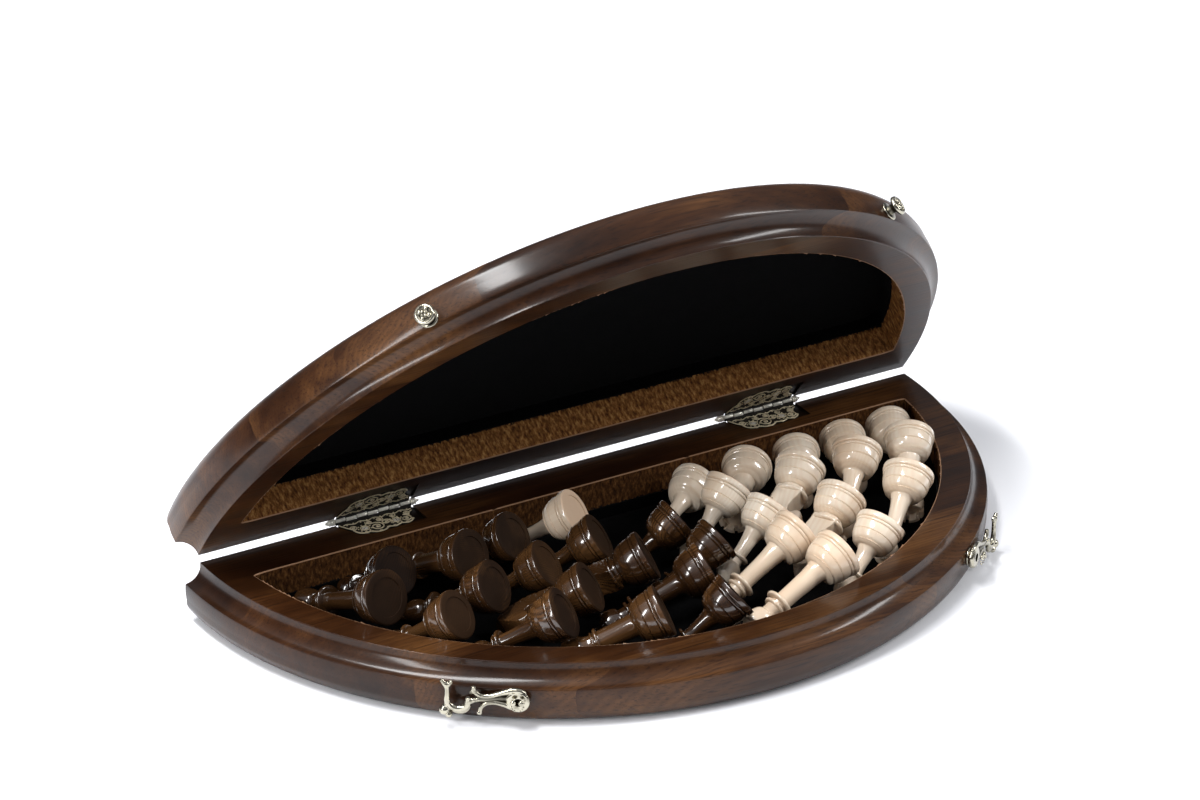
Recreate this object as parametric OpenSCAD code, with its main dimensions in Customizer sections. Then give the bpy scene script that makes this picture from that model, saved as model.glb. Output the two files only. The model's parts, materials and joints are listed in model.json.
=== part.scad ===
// Half-round folding chess box, open as it stands on a table, with its 32 men lying in the tray.
// The two halves are mirror images, each with four rows of the playing board on its outer face.
// The origin is the bottom centre of the open box: X runs along the hinges, Y to the back, Z up.

/* [Shell] */
// Radius of the flat rim's outer edge
rim_r = 200; // [196:1:220]
// Width of the rim round the curved wall
rim_w = 15; // [12:0.5:18]
// Width of the straight rail along the hinges
rail_w = 24.5; // [21:0.5:30]
// Depth of the hollow in each half
hollow_depth = 22; // [18:0.5:23.5]
// Radius of the hollow's two corners
corner_r = 9; // [3:0.5:15]
// Height of the cove under the rim
cove_drop = 9.4; // [8.5:0.1:12]
// How far the arris stands out past the rim
cove_reach = 8.5; // [6:0.1:8.5]
// Height of the upright band under the arris
band_h = 8.6; // [8:0.1:14]
// Radius of the rounded lower edge
round_r = 11; // [8:0.5:14]

/* [Flock lining] */
// Thickness of the flock
flock_t = 0.8; // [0.5:0.1:1.5]
// How far the flock climbs the walls
flock_h = 7; // [3:0.5:14]

/* [Playing board] */
// Side of one square
square = 33; // [28:0.5:34]
// Thickness of the veneer squares
veneer_t = 1.2; // [0.6:0.1:2]
// From the back face to the first row
board_edge = 1.5; // [1:0.5:6]
// Glue line between two squares
veneer_joint = 0.1; // [0.05:0.05:0.3]

/* [Opening] */
// How far the lid stands open, from closed
open_angle = 51.6; // [40:0.1:120]
// Gap between the rims of the closed box
rim_gap = 0.3; // [0.2:0.1:0.6]

/* [Hinges] */
// From the back faces to the pin's axis
pin_back = 3.6; // [2.5:0.1:5]
// Middle of the left barrel along X
hinge_left_x = -107; // [-125:0.5:-80]
// Middle of the right barrel along X
hinge_right_x = 112.5; // [80:0.5:125]
// Length of the barrel
barrel_len = 41; // [38:0.5:46]
// Radius of the barrel
barrel_r = 1.25; // [1.2:0.05:1.4]
// Radius of the pin
pin_r = 0.65; // [0.5:0.05:0.8]
// Knuckles on the barrel
knuckles = 7; // [5:2:9]
// Thickness of a leaf
leaf_t = 1; // [0.8:0.1:1]
// How far a leaf reaches over the rail
leaf_reach = 16; // [15:0.5:18]
// Length of a pin's turned finial
finial_l = 5; // [4:0.5:6]
// Radius of a hinge screw's shank
hinge_screw_r = 0.8; // [0.6:0.1:1]
// Length of a hinge screw
hinge_screw_l = 8; // [5:0.5:10]

/* [Hook latches] */
// Turn of the left latch from the front
latch_left_turn = -35; // [-45:0.5:-25]
// Turn of the right latch from the front
latch_right_turn = 38.5; // [25:0.5:45]
// How far the right hook droops from level
right_droop = 6; // [0:0.5:7]
// Thickness of a hook
hook_t = 3; // [2:0.1:3.5]
// Radius of a hook's eye
eye_r = 5.4; // [4.5:0.1:6]
// Radius of the pivot screw's shank
pivot_r = 2; // [1.5:0.1:2.4]
// Radius of the domed heads of the screws and studs
dome_r = 5; // [4:0.1:5.5]
// Height of those heads
dome_h = 3.6; // [2.5:0.1:4.5]
// Thickness of the washer under a hook
washer_t = 1.2; // [0.8:0.1:2]
// Radius of a stud's neck
neck_r = 2.3; // [1.8:0.1:2.8]
// Radius of the screw threads in the wood
thread_r = 1.6; // [1.2:0.1:1.8]
// Length of those threads
thread_l = 10; // [6:0.5:11]

/* [Chessmen] */
// Height of a pawn
pawn_h = 45; // [41:0.5:48]
// Height of a rook
rook_h = 50; // [46:0.5:54]
// Height of a knight
knight_h = 52; // [48:0.5:56]
// Height of a bishop
bishop_h = 57; // [52:0.5:61]
// Height of a queen
queen_h = 63; // [58:0.5:68]
// Height of a king
king_h = 68; // [62:0.5:73]
// Radius of a pawn's base
pawn_r = 12.2; // [11:0.1:13]
// Radius of the base of a rook, knight or bishop
officer_r = 12.8; // [11.5:0.1:13.2]
// Radius of the base of a queen or king
royal_r = 13.2; // [12:0.1:13.4]
// Rail to curved wall of the hollow that men of these sizes are for
men_hollow = 160.5; // [150:0.5:175]
// How far a man's head reaches under the next man's base
men_lap = 9; // [5:0.5:10]
// Height kept between that head and the base above it
lap_gap = 3.2; // [3:0.1:3.6]

/* [Hidden] */
$fn = 48;

// Clearances
fit = 0.05;
rest_gap = 0.3;
swing_gap = 0.1;

// Shell
body_h = round_r + band_h + cove_drop;
lip_r = rim_r + cove_reach;
wall_r = rim_r - rim_w;
floor_z = body_h - hollow_depth;
pin_z = body_h + rim_gap / 2;
latch_z = round_r + band_h / 2;
flat_r = lip_r - round_r;

// The open lid reaches furthest back with the far edge of its outer face
lid_back_y = pin_back - pin_back * cos(open_angle) + pin_z * sin(open_angle);
origin_y = (lid_back_y - lip_r) / 2;

// A tidy margin for the cutters
over = 1;

WOOD = [0.36, 0.21, 0.11];
DARK_WOOD = [0.2, 0.11, 0.06];
PALE_WOOD = [0.87, 0.78, 0.62];
FLOCK = [0.03, 0.03, 0.035];
BRASS = [0.72, 0.62, 0.38];

// Places

module in_base() {
    translate([0, -origin_y, 0]) children();
}

// The lid is drawn as a second base, mirrored in the pin's plane and swung open
module in_lid() {
    translate([0, pin_back - origin_y, pin_z])
        rotate([-open_angle, 0, 0])
            translate([0, -pin_back, pin_z])
                mirror([0, 0, 1])
                    children();
}

// On the upright band: X runs along the wall, Y up and Z out of the wood
module on_band(turn) {
    rotate([0, 0, turn])
        translate([0, -lip_r, latch_z])
            rotate([90, 0, 0])
                children();
}

// Shapes

function arc(cx, cy, r, from, to, n) =
    [for (i = [0:n]) let (a = from + (to - from) * i / n) [cx + r * cos(a), cy + r * sin(a)]];

// A curved bar of even width, between two angles
module bow(cx, cy, r, width, from, to, n = 10) {
    polygon(concat(
        arc(cx, cy, r - width / 2, from, to, n),
        arc(cx, cy, r + width / 2, to, from, n)));
}

module dome(r, h) {
    sphere_r = (r * r + h * h) / (2 * h);
    intersection() {
        translate([0, 0, h - sphere_r]) sphere(r = sphere_r);
        cylinder(r = r + over, h = h);
    }
}

// Half of the disc that a profile of radius and height sweeps
module half_turned(points) {
    rotate_extrude(angle = 180, start = 180, $fn = 180) polygon(points);
}

// The half-round hollow, its corners rounded, shrunk by inset
module hollow_outline(inset = 0) {
    r = wall_r - inset;
    back = rail_w + inset;
    c = corner_r - inset;
    corner_y = back + c;
    corner_x = sqrt((r - c) * (r - c) - corner_y * corner_y);
    reach = 2 * r;
    intersection() {
        circle(r = r, $fn = 180);
        polygon([[0, 0], [-reach, -reach * corner_y / corner_x], [-reach, -reach],
            [reach, -reach], [reach, -reach * corner_y / corner_x]]);
        translate([-r, -r]) square([2 * r, r - back]);
    }
    translate([-corner_x, -corner_y]) square([2 * corner_x, c]);
    for (side = [-1, 1])
        translate([side * corner_x, -corner_y]) circle(r = c);
}

// Shell halves

module shell_body() {
    half_turned(concat(
        [[0, 0], [flat_r, 0]],
        arc(flat_r, round_r, round_r, -75, 0, 5),
        [[lip_r, round_r + band_h]],
        arc(lip_r, body_h - cove_drop + cove_reach, cove_reach, 262, 180, 7),
        [[rim_r, body_h], [0, body_h]]));
}

module board_pocket() {
    translate([-4 * square, -board_edge - 4 * square, -over])
        cube([8 * square, 4 * square, veneer_t + over]);
}

// What the lid and the base have cut out of them alike
module shell(screw_hole_r) {
    difference() {
        shell_body();
        translate([0, 0, floor_z]) linear_extrude(hollow_depth + over) hollow_outline();
        board_pocket();
        for (x = [hinge_left_x, hinge_right_x])
            translate([x - barrel_len / 2, 0, body_h]) leaf_recess();
        for (turn = [latch_left_turn, latch_right_turn])
            on_band(turn)
                translate([0, 0, -thread_l - rest_gap])
                    cylinder(r = screw_hole_r, h = thread_l + rest_gap + over, $fn = 32);
    }
}

module base_shell() {
    color(WOOD) in_base() shell(thread_r + fit);
}

module lid_shell() {
    color(WOOD) in_lid() shell(thread_r + fit);
}

module flock() {
    translate([0, 0, floor_z])
        difference() {
            linear_extrude(flock_h) hollow_outline();
            translate([0, 0, flock_t]) linear_extrude(flock_h) hollow_outline(flock_t);
        }
}

module base_flock() {
    color(FLOCK) in_base() flock();
}

module lid_flock() {
    color(FLOCK) in_lid() flock();
}

// The squares of one shade, 0 for light and 1 for dark, as a player at the fold sees them
module squares(shade) {
    side = square - veneer_joint;
    for (column = [0:7], row = [0:3])
        if ((column + row) % 2 == shade)
            translate([(column - 4) * square + veneer_joint / 2,
                -board_edge - (row + 1) * square + veneer_joint / 2, 0])
                cube([side, side, veneer_t]);
}

module base_light_squares() {
    color(PALE_WOOD) in_base() squares(0);
}

module base_dark_squares() {
    color(DARK_WOOD) in_base() squares(1);
}

module lid_light_squares() {
    color(PALE_WOOD) in_lid() squares(1);
}

module lid_dark_squares() {
    color(DARK_WOOD) in_lid() squares(0);
}

// Hinges
// A leaf is drawn from the barrel's left end, with the rail's back edge as its X axis

screw_places = [[10.5, -9], [27.5, -9]];
head_r = 2 * hinge_screw_r;
lobe_y = -leaf_reach + 6;

module leaf_outline() {
    difference() {
        union() {
            polygon([[0.3, 0], [2.2, -4.5], [6, -leaf_reach + 4.5], [10, lobe_y],
                [31, lobe_y], [barrel_len - 1.5, -2.5], [barrel_len - 0.7, 0]]);
            translate([9.6, lobe_y + 1]) circle(r = 5, $fn = 32);
            translate([16.5, lobe_y]) circle(r = 6, $fn = 32);
            translate([24.6, lobe_y + 0.6]) circle(r = 5.2, $fn = 32);
            translate([31.5, lobe_y]) circle(r = 4.4, $fn = 32);
        }
        translate([barrel_len - 0.8, -8.6]) circle(r = 4.9, $fn = 32);
    }
}

// Round piercings set in rings about the lobes, which leave scrolls of metal between them
module piercings() {
    for (i = [0:6])
        translate([10.5, -9] + 3.6 * [cos(i * 45 + 60), sin(i * 45 + 60)]) circle(r = 0.75, $fn = 16);
    for (i = [0:6])
        translate([27.5, -9] + 3.6 * [cos(i * 45 - 120), sin(i * 45 - 120)]) circle(r = 0.75, $fn = 16);
    for (i = [0:3])
        translate([19, -3.2 - 3.3 * i]) circle(r = 1.1 - 0.1 * i, $fn = 16);
}

module leaf_recess() {
    translate([0, 0, -leaf_t])
        linear_extrude(leaf_t + over)
            polygon([[-0.8, over], [-0.8, -1.5], [5.2, -leaf_reach + 1.8], [11.5, -leaf_reach - 0.6],
                [22, -leaf_reach - 0.6], [36.4, -leaf_reach + 0.6], [barrel_len, -leaf_reach + 0.6],
                [barrel_len, over]]);
    for (p = screw_places)
        translate([p[0], p[1], -leaf_t - hinge_screw_l])
            cylinder(r = hinge_screw_r + fit, h = hinge_screw_l + over, $fn = 24);
}

// phase 0 takes the outer knuckles, phase 1 those between them
module hinge_leaf(phase) {
    pitch = barrel_len / knuckles;
    axis_z = rim_gap / 2;
    swing_r = barrel_r + rest_gap;
    difference() {
        union() {
            translate([0, 0, -leaf_t])
                linear_extrude(leaf_t)
                    difference() {
                        union() {
                            leaf_outline();
                            translate([1, -over]) square([barrel_len - 2, pin_back - swing_r + over]);
                        }
                        piercings();
                    }
            for (i = [phase:2:knuckles - 1])
                translate([i * pitch + swing_gap, pin_back, axis_z]) {
                    rotate([0, 90, 0]) cylinder(r = barrel_r, h = pitch - 2 * swing_gap, $fn = 32);
                    translate([0, -swing_r - over, -axis_z - leaf_t])
                        cube([pitch - 2 * swing_gap, swing_r + over, leaf_t]);
                }
        }
        translate([-over, pin_back, axis_z])
            rotate([0, 90, 0]) cylinder(r = pin_r + fit, h = barrel_len + 2 * over, $fn = 32);
        for (p = screw_places)
            translate([p[0], p[1], -leaf_t]) {
                translate([0, 0, -over]) cylinder(r = hinge_screw_r + fit, h = leaf_t + 2 * over, $fn = 24);
                cylinder(r1 = hinge_screw_r + fit, r2 = head_r + fit, h = leaf_t, $fn = 24);
            }
    }
}

module hinge_screws() {
    for (x = [hinge_left_x, hinge_right_x], p = screw_places)
        translate([x - barrel_len / 2 + p[0], p[1], body_h])
            difference() {
                union() {
                    translate([0, 0, -hinge_screw_l])
                        cylinder(r = hinge_screw_r, h = hinge_screw_l, $fn = 24);
                    translate([0, 0, -leaf_t])
                        cylinder(r1 = hinge_screw_r, r2 = head_r, h = leaf_t, $fn = 24);
                }
                translate([-head_r, -0.2, -0.4]) cube([2 * head_r, 0.4, over]);
            }
}

// The pin with its turned ends, from the barrel's left end
module hinge_pin() {
    rotate([0, 90, 0])
        rotate_extrude($fn = 32)
            polygon([[0, -finial_l], [0.6, -finial_l + 0.3], [1.1, -finial_l + 1.6], [1.6, -finial_l + 2.1],
                [1.6, -finial_l + 2.8], [0.9, -finial_l + 3.2], [1.8, -finial_l + 3.8], [1.8, -swing_gap],
                [pin_r, -swing_gap], [pin_r, barrel_len + swing_gap], [1.8, barrel_len + swing_gap],
                [1.8, barrel_len + finial_l - 3.8], [0.9, barrel_len + finial_l - 3.2],
                [1.6, barrel_len + finial_l - 2.8], [1.6, barrel_len + finial_l - 2.1],
                [1.1, barrel_len + finial_l - 1.6], [0.6, barrel_len + finial_l - 0.3],
                [0, barrel_len + finial_l]]);
}

module base_leaf(x) {
    color(BRASS) in_base() translate([x - barrel_len / 2, 0, body_h]) hinge_leaf(0);
}

module lid_leaf(x) {
    color(BRASS) in_lid() translate([x - barrel_len / 2, 0, body_h]) hinge_leaf(1);
}

module pin_at(x) {
    color(BRASS) in_base() translate([x - barrel_len / 2, pin_back, pin_z]) hinge_pin();
}

module left_hinge_base_leaf() base_leaf(hinge_left_x);
module left_hinge_lid_leaf() lid_leaf(hinge_left_x);
module left_hinge_pin() pin_at(hinge_left_x);
module right_hinge_base_leaf() base_leaf(hinge_right_x);
module right_hinge_lid_leaf() lid_leaf(hinge_right_x);
module right_hinge_pin() pin_at(hinge_right_x);

module base_hinge_screws() {
    color(BRASS) in_base() hinge_screws();
}

module lid_hinge_screws() {
    color(BRASS) in_lid() hinge_screws();
}

// Latches
// A hook is drawn level, with its pivot at the origin, its arm along X and Z out of the wood

hook_low = washer_t + swing_gap;
hook_high = hook_low + hook_t;
// The stud stands straight above the pivot when the box is closed
hook_reach = 2 * (pin_z - latch_z);
bowl_r = neck_r + 1.3;
bowl_w = 2.6;

module hook_arm() {
    far = hook_reach - bowl_r - bowl_w / 2;
    n = 8;
    function side(t, sign) = [far * t, 1.2 * cos(90 * t) + sign * (1.7 + 2.9 * pow(cos(90 * t), 1.5))];
    polygon(concat([for (i = [1:n]) side(i / n, 1)], [for (i = [n:-1:1]) side(i / n, -1)]));
}

module hook_outline() {
    circle(r = eye_r);
    hook_arm();
    bow(hook_reach, 0, bowl_r + bowl_w / 2, bowl_w, 165, 375);
    // The finger that lifts the hook, forked at its tip
    translate([hook_reach + bowl_r + bowl_w / 2, 0]) {
        polygon([[-1.3, 0], [1.3, 0], [1, 4.5], [1.2, 7], [2.6, 9.6], [1.4, 10.4], [-0.2, 8.4],
            [-2, 9.8], [-3, 8.8], [-1.2, 6.6], [-1, 4.5]]);
        translate([2.2, 10]) circle(r = 0.9, $fn = 24);
        translate([-2.6, 9.4]) circle(r = 0.9, $fn = 24);
    }
    // Leaf spurs above and below the arm
    bow(hook_reach - 11.8, 3.6, 4, 1.5, -55, 55, 8);
    translate([hook_reach - 9.6, 7]) circle(r = 1.2, $fn = 24);
    bow(hook_reach - 13.2, -6.6, 4.6, 1.5, 110, 20, 8);
    translate([hook_reach - 8.8, -5.5]) circle(r = 1.2, $fn = 24);
}

module hook() {
    ball = [hook_reach + 6.3, -5.6];
    difference() {
        union() {
            translate([0, 0, hook_low]) linear_extrude(hook_t) hook_outline();
            translate([ball[0], ball[1], hook_low + hook_t / 2]) sphere(r = 2.4, $fn = 32);
            translate([ball[0] - 2.1, ball[1] - 2.3, hook_low + hook_t / 2]) sphere(r = 1.7, $fn = 32);
        }
        cylinder(r = pivot_r + fit, h = hook_high + over, $fn = 32);
    }
}

module slotted_dome(r, h) {
    difference() {
        dome(r, h);
        translate([-r, -0.5, h - 1]) cube([2 * r, 1, 1 + over]);
    }
}

module pivot_screw() {
    translate([0, 0, hook_high + swing_gap]) slotted_dome(dome_r, dome_h);
    cylinder(r = pivot_r, h = hook_high + swing_gap, $fn = 32);
    translate([0, 0, -thread_l]) cylinder(r = thread_r, h = thread_l, $fn = 32);
}

module washer() {
    difference() {
        cylinder(r = 4.4, h = washer_t, $fn = 32);
        translate([0, 0, -over]) cylinder(r = pivot_r + fit, h = washer_t + 2 * over, $fn = 32);
    }
}

stud_ring_t = washer_t - 0.2;

module stud() {
    head_z = hook_high + rest_gap;
    translate([0, 0, head_z]) slotted_dome(dome_r, dome_h);
    cylinder(r = neck_r, h = head_z, $fn = 32);
    translate([0, 0, -thread_l]) cylinder(r = thread_r, h = thread_l, $fn = 32);
}

module stud_ring() {
    difference() {
        cylinder(r = dome_r - 0.2, h = stud_ring_t, $fn = 32);
        translate([0, 0, -over]) cylinder(r = neck_r + fit, h = stud_ring_t + 2 * over, $fn = 32);
    }
}

// The left latch is the mirror image of the right one
module left_latch() {
    in_base() on_band(latch_left_turn) mirror([1, 0, 0]) children();
}

module right_latch() {
    in_base() on_band(latch_right_turn) rotate([0, 0, -right_droop]) children();
}

module left_hook() {
    color(BRASS) left_latch() hook();
}

module left_pivot_screw() {
    color(BRASS) left_latch() pivot_screw();
}

module left_hook_washer() {
    color(BRASS) left_latch() washer();
}

module right_hook() {
    color(BRASS) right_latch() hook();
}

module right_pivot_screw() {
    color(BRASS) right_latch() pivot_screw();
}

module right_hook_washer() {
    color(BRASS) right_latch() washer();
}

module left_stud() {
    color(BRASS) in_lid() on_band(latch_left_turn) stud();
}

module left_stud_ring() {
    color(BRASS) in_lid() on_band(latch_left_turn) stud_ring();
}

module right_stud() {
    color(BRASS) in_lid() on_band(latch_right_turn) stud();
}

module right_stud_ring() {
    color(BRASS) in_lid() on_band(latch_right_turn) stud_ring();
}

// Chessmen
// Each is turned from its base up, as points of radius and height

KINDS = ["pawn", "rook", "knight", "bishop", "queen", "king"];
HEIGHTS = [pawn_h, rook_h, knight_h, bishop_h, queen_h, king_h];
BASES = [pawn_r, officer_r, officer_r, officer_r, royal_r, royal_r];
// The radius of the head where it touches the floor, and how far that is below the top
HEAD_R = [5.9, 7.6, 6.4, 6, 6.8, 7.2];
HEAD_DOWN = [5.9, 1.6, 6.3, 9, 8.5, 10];
// The rim at the base, and the bell above it
RIM_TOP = 3.2;
BELL_FROM = 5.2;
BELL_TO = 15.4;
BELL_R = 0.46;

function kind_of(name) = search([name], KINDS)[0];

// Moulded foot and bell, up to a neck of radius r at height z
function foot(base, z, r) = concat(
    [[0, 0], [base - 0.8, 0], [base, 0.8], [base, RIM_TOP], [base - 0.9, 4], [base - 1.2, 4.8]],
    [for (i = [0:4]) let (a = 90 * i / 4)
        [BELL_R * base * (1 + cos(a)), BELL_FROM + (BELL_TO - BELL_FROM) * sin(a)]],
    [for (i = [1:4]) let (a = 90 * i / 4)
        [r + (BELL_R * base - r) * (1 - sin(a)), BELL_TO + (z - BELL_TO) * (1 - cos(a))]]);

// A thin turned disc with rounded edges
function collar(z, r, thick) = [[r - 0.5, z], [r, z + thick / 2], [r - 0.5, z + thick]];

module turned(points) {
    rotate_extrude($fn = 32) polygon(points);
}

module pawn_body(h, base) {
    neck_z = h - 16;
    turned(concat(foot(base, neck_z, 3.4), collar(neck_z + 1, 5.8, 1.6),
        [[3.6, neck_z + 3.6], [3.2, neck_z + 5], [0, neck_z + 5]]));
    translate([0, 0, h - 5.9]) sphere(r = 5.9, $fn = 32);
}

module rook_body(h, base) {
    neck_z = h - 18;
    difference() {
        turned(concat(foot(base, neck_z, 5.2), collar(neck_z + 1, 7, 1.8),
            [[5.2, neck_z + 4], [5.4, neck_z + 7], [7.2, neck_z + 9.5], [7.6, neck_z + 10.5], [7.6, h],
                [5.2, h], [4.8, h - 3.5], [0, h - 3.5]]));
        for (turn = [0:60:120])
            rotate([0, 0, turn]) translate([-10, -0.9, h - 2.4]) cube([20, 1.8, 2.4 + over]);
    }
}

module bishop_body(h, base) {
    neck_z = h - 24;
    difference() {
        turned(concat(foot(base, neck_z, 3.8), collar(neck_z + 1, 6.6, 1.6), collar(neck_z + 3.6, 5.4, 1.4),
            [[3.6, neck_z + 6]],
            [for (i = [0:6]) let (a = 20 + 25 * i)
                [0.9 + 5.1 * sin(a), neck_z + 7 + 6.7 * (1 - cos(a))]],
            [[0.9, h - 3.4], [1.7, h - 2.4], [1.9, h - 1.6], [1.4, h - 0.5], [0, h]]));
        translate([0, 0, h - 7.5]) rotate([0, 40, 0]) translate([0.2, -8, -0.5]) cube([9, 16, 1]);
    }
}

module queen_body(h, base) {
    neck_z = h - 25;
    difference() {
        turned(concat(foot(base, neck_z, 4.2), collar(neck_z + 1, 7.2, 1.8), collar(neck_z + 4, 5.8, 1.6),
            [[4, neck_z + 6.5], [4, neck_z + 9]],
            [for (i = [0:4]) let (a = 90 * i / 4) [4 + 2.8 * sin(a), neck_z + 9 + 8 * (1 - cos(a))]],
            [[6.2, h - 8], [4.8, h - 8.6], [4.4, h - 6.4], [2, h - 4.6], [2.2, h - 3], [1.6, h - 0.8],
                [0, h]]));
        for (turn = [0:45:315])
            rotate([0, 0, turn]) translate([7.2, 0, h - 7.6]) sphere(r = 1.5, $fn = 16);
    }
}

module king_body(h, base) {
    neck_z = h - 29;
    turned(concat(foot(base, neck_z, 4.4), collar(neck_z + 1, 7.8, 1.8), collar(neck_z + 4, 6.2, 1.8),
        [[4.2, neck_z + 7], [4.2, neck_z + 10]],
        [for (i = [0:4]) let (a = 90 * i / 4) [4.2 + 3 * sin(a), neck_z + 10 + 9 * (1 - cos(a))]],
        [[6.6, h - 9.2], [5.2, h - 8.2], [2, h - 6.4], [1.6, h - 5], [0, h - 5]]));
    // Small plain cross
    translate([-0.9, -0.9, h - 6]) cube([1.8, 1.8, 6]);
    translate([-0.9, -2.4, h - 3.6]) cube([1.8, 4.8, 1.8]);
}

// A horse's head, sawn to its side, front and plan outlines, with its nose towards Y
knight_collar_z = 17;

module knight_side(top) {
    difference() {
        polygon([[-7, 0], [-9.6, 0.22 * top], [-10.2, 0.42 * top], [-8.8, 0.62 * top], [-5.4, 0.8 * top],
            [-3, 0.86 * top], [-2.4, top], [0.4, 0.88 * top], [3.4, 0.8 * top], [6.6, 0.68 * top],
            [10, 0.5 * top], [10.2, 0.4 * top], [8, 0.34 * top], [5, 0.42 * top], [2.2, 0.36 * top],
            [3, 0.22 * top], [7, 0]]);
        // Locks of the mane down the back of the neck
        for (i = [0:4])
            translate([-11.5 + 0.27 * i * i, (0.14 + 0.14 * i) * top]) circle(r = 1.9, $fn = 24);
    }
}

module knight_head(top) {
    half = HEAD_R[2];
    reach = 12;
    intersection() {
        rotate([90, 0, 90]) translate([0, 0, -half]) linear_extrude(2 * half) knight_side(top);
        rotate([90, 0, 0])
            translate([0, 0, -reach])
                linear_extrude(2 * reach)
                    polygon([[-half, -over], [-half, 0.84 * top], [-2.6, top + over], [2.6, top + over],
                        [half, 0.84 * top], [half, -over]]);
        translate([0, 0, -over])
            linear_extrude(top + 2 * over)
                polygon([[-3.4, -reach], [-half - over, -5], [-half - over, 2], [-3.2, reach],
                    [3.2, reach], [half + over, 2], [half + over, -5], [3.4, -reach]]);
    }
}

module knight_body(h, base) {
    turned(concat(foot(base, knight_collar_z, 7), collar(knight_collar_z + 1, 8.6, 1.8),
        [[0, knight_collar_z + 2.8]]));
    translate([0, 0, knight_collar_z + 2]) knight_head(h - knight_collar_z - 2);
}

module upright_man(kind) {
    k = kind_of(kind);
    if (kind == "pawn") pawn_body(HEIGHTS[k], BASES[k]);
    if (kind == "rook") rook_body(HEIGHTS[k], BASES[k]);
    if (kind == "knight") knight_body(HEIGHTS[k], BASES[k]);
    if (kind == "bishop") bishop_body(HEIGHTS[k], BASES[k]);
    if (kind == "queen") queen_body(HEIGHTS[k], BASES[k]);
    if (kind == "king") king_body(HEIGHTS[k], BASES[k]);
}

// Rings of men from the curved wall inwards, each from its right end, laid head to tail round the tray.
// The first man of a ring lies flat, and each next one leans with its base on the head before it.
RINGS = [
    [["light", "pawn", 1], ["light", "rook", 1], ["light", "bishop", 1], ["light", "pawn", 2],
        ["light", "king", 1], ["dark", "pawn", 1], ["dark", "rook", 1], ["dark", "bishop", 1],
        ["dark", "pawn", 2], ["dark", "king", 1]],
    [["light", "pawn", 3], ["light", "bishop", 2], ["light", "knight", 1], ["light", "queen", 1],
        ["dark", "queen", 1], ["dark", "knight", 1], ["dark", "bishop", 2], ["dark", "pawn", 3]],
    [["light", "pawn", 4], ["light", "knight", 2], ["light", "pawn", 5], ["dark", "pawn", 4],
        ["dark", "knight", 2], ["dark", "pawn", 5], ["dark", "rook", 2]],
    [["light", "rook", 2], ["light", "pawn", 6], ["dark", "pawn", 6], ["dark", "pawn", 7],
        ["dark", "pawn", 8]],
    [["light", "pawn", 7], ["light", "pawn", 8]],
];
ring_pitch = 2 * max(BASES) + 2 * rest_gap;

function kind_at(ring, i) = kind_of(RINGS[ring][i][1]);
function man_name(m) = str(m[0], "_", m[1], m[1] == "king" || m[1] == "queen" ? "" : str("_", m[2]));

// Height of the low edge of a man's base, and the lean that gives it with the head on the floor
function lift(ring, i) = i == 0 ? 0 : 2 * HEAD_R[kind_at(ring, i - 1)] + lap_gap;
function lean(ring, i) = let (k = kind_at(ring, i), along = HEIGHTS[k] - HEAD_DOWN[k] - RIM_TOP)
    atan2(BASES[k], along) + asin((lift(ring, i) - HEAD_R[k]) / norm([along, BASES[k]]));
function man_rise(ring, i) = let (k = kind_at(ring, i))
    HEAD_R[k] + (HEIGHTS[k] - HEAD_DOWN[k]) * sin(lean(ring, i));

// The men shrink and grow with the hollow, and keep clear of the shut lid
MEN = [for (ring = [0:len(RINGS) - 1], i = [0:len(RINGS[ring]) - 1]) concat(RINGS[ring][i], [ring, i])];
function top_of(ring, i) = lift(ring, i) + 2 * BASES[kind_at(ring, i)] * cos(lean(ring, i))
    + RIM_TOP * sin(lean(ring, i));
men_top = max([for (m = MEN) top_of(m[3], m[4])]);
shut_room = 2 * (hollow_depth - flock_t - rest_gap) + rim_gap;
men_scale = min((wall_r - rail_w) / men_hollow, shut_room / men_top);

// All that follows is in the men's own scale.
// Half of a man's length in plan, to its head and to the low edge of its base
function half_span(ring, i) = HEIGHTS[kind_at(ring, i)] * cos(lean(ring, i)) / 2;
function half_base(ring, i) = half_span(ring, i) + BASES[kind_at(ring, i)] * sin(lean(ring, i));
function half_head(ring, i) = half_span(ring, i) + HEAD_R[kind_at(ring, i)] * sin(lean(ring, i));

// A man touches its ring's outer circle with the edge of its base
function ring_outer(ring) = (wall_r - 2 * rest_gap - flock_t) / men_scale - ring * ring_pitch;
function lie_r(ring, i) =
    sqrt(pow(ring_outer(ring), 2) - pow(half_span(ring, i), 2)) - BASES[kind_at(ring, i)];

// The angle from the rail at which a point clears it, from its radius and its place along the man
rail_room = (rail_w + flock_t + 2 * rest_gap) / men_scale;
function clear_angle(r, along) = asin(rail_room / norm([r, along])) + atan2(along, r);
function first_angle(ring) = clear_angle(lie_r(ring, 0) - BASES[kind_at(ring, 0)], half_base(ring, 0));
function last_angle(ring) = let (i = len(RINGS[ring]) - 1)
    180 - clear_angle(lie_r(ring, i) - HEAD_R[kind_at(ring, i)], half_head(ring, i));

// From one man's middle to the next one's, and the free room that all of them share
function step(ring, i) = atan2(half_span(ring, i - 1), lie_r(ring, i - 1))
    + atan2(half_base(ring, i), lie_r(ring, i))
    - men_lap * 360 / PI / (lie_r(ring, i - 1) + lie_r(ring, i));
function all_steps(ring, i) = i == 0 ? 0 : step(ring, i) + all_steps(ring, i - 1);
function free_angle(ring) = let (n = len(RINGS[ring]) - 1)
    (last_angle(ring) - first_angle(ring) - all_steps(ring, n)) / n;
function mid_angle(ring, i) = first_angle(ring) + all_steps(ring, i) + i * free_angle(ring);

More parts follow.
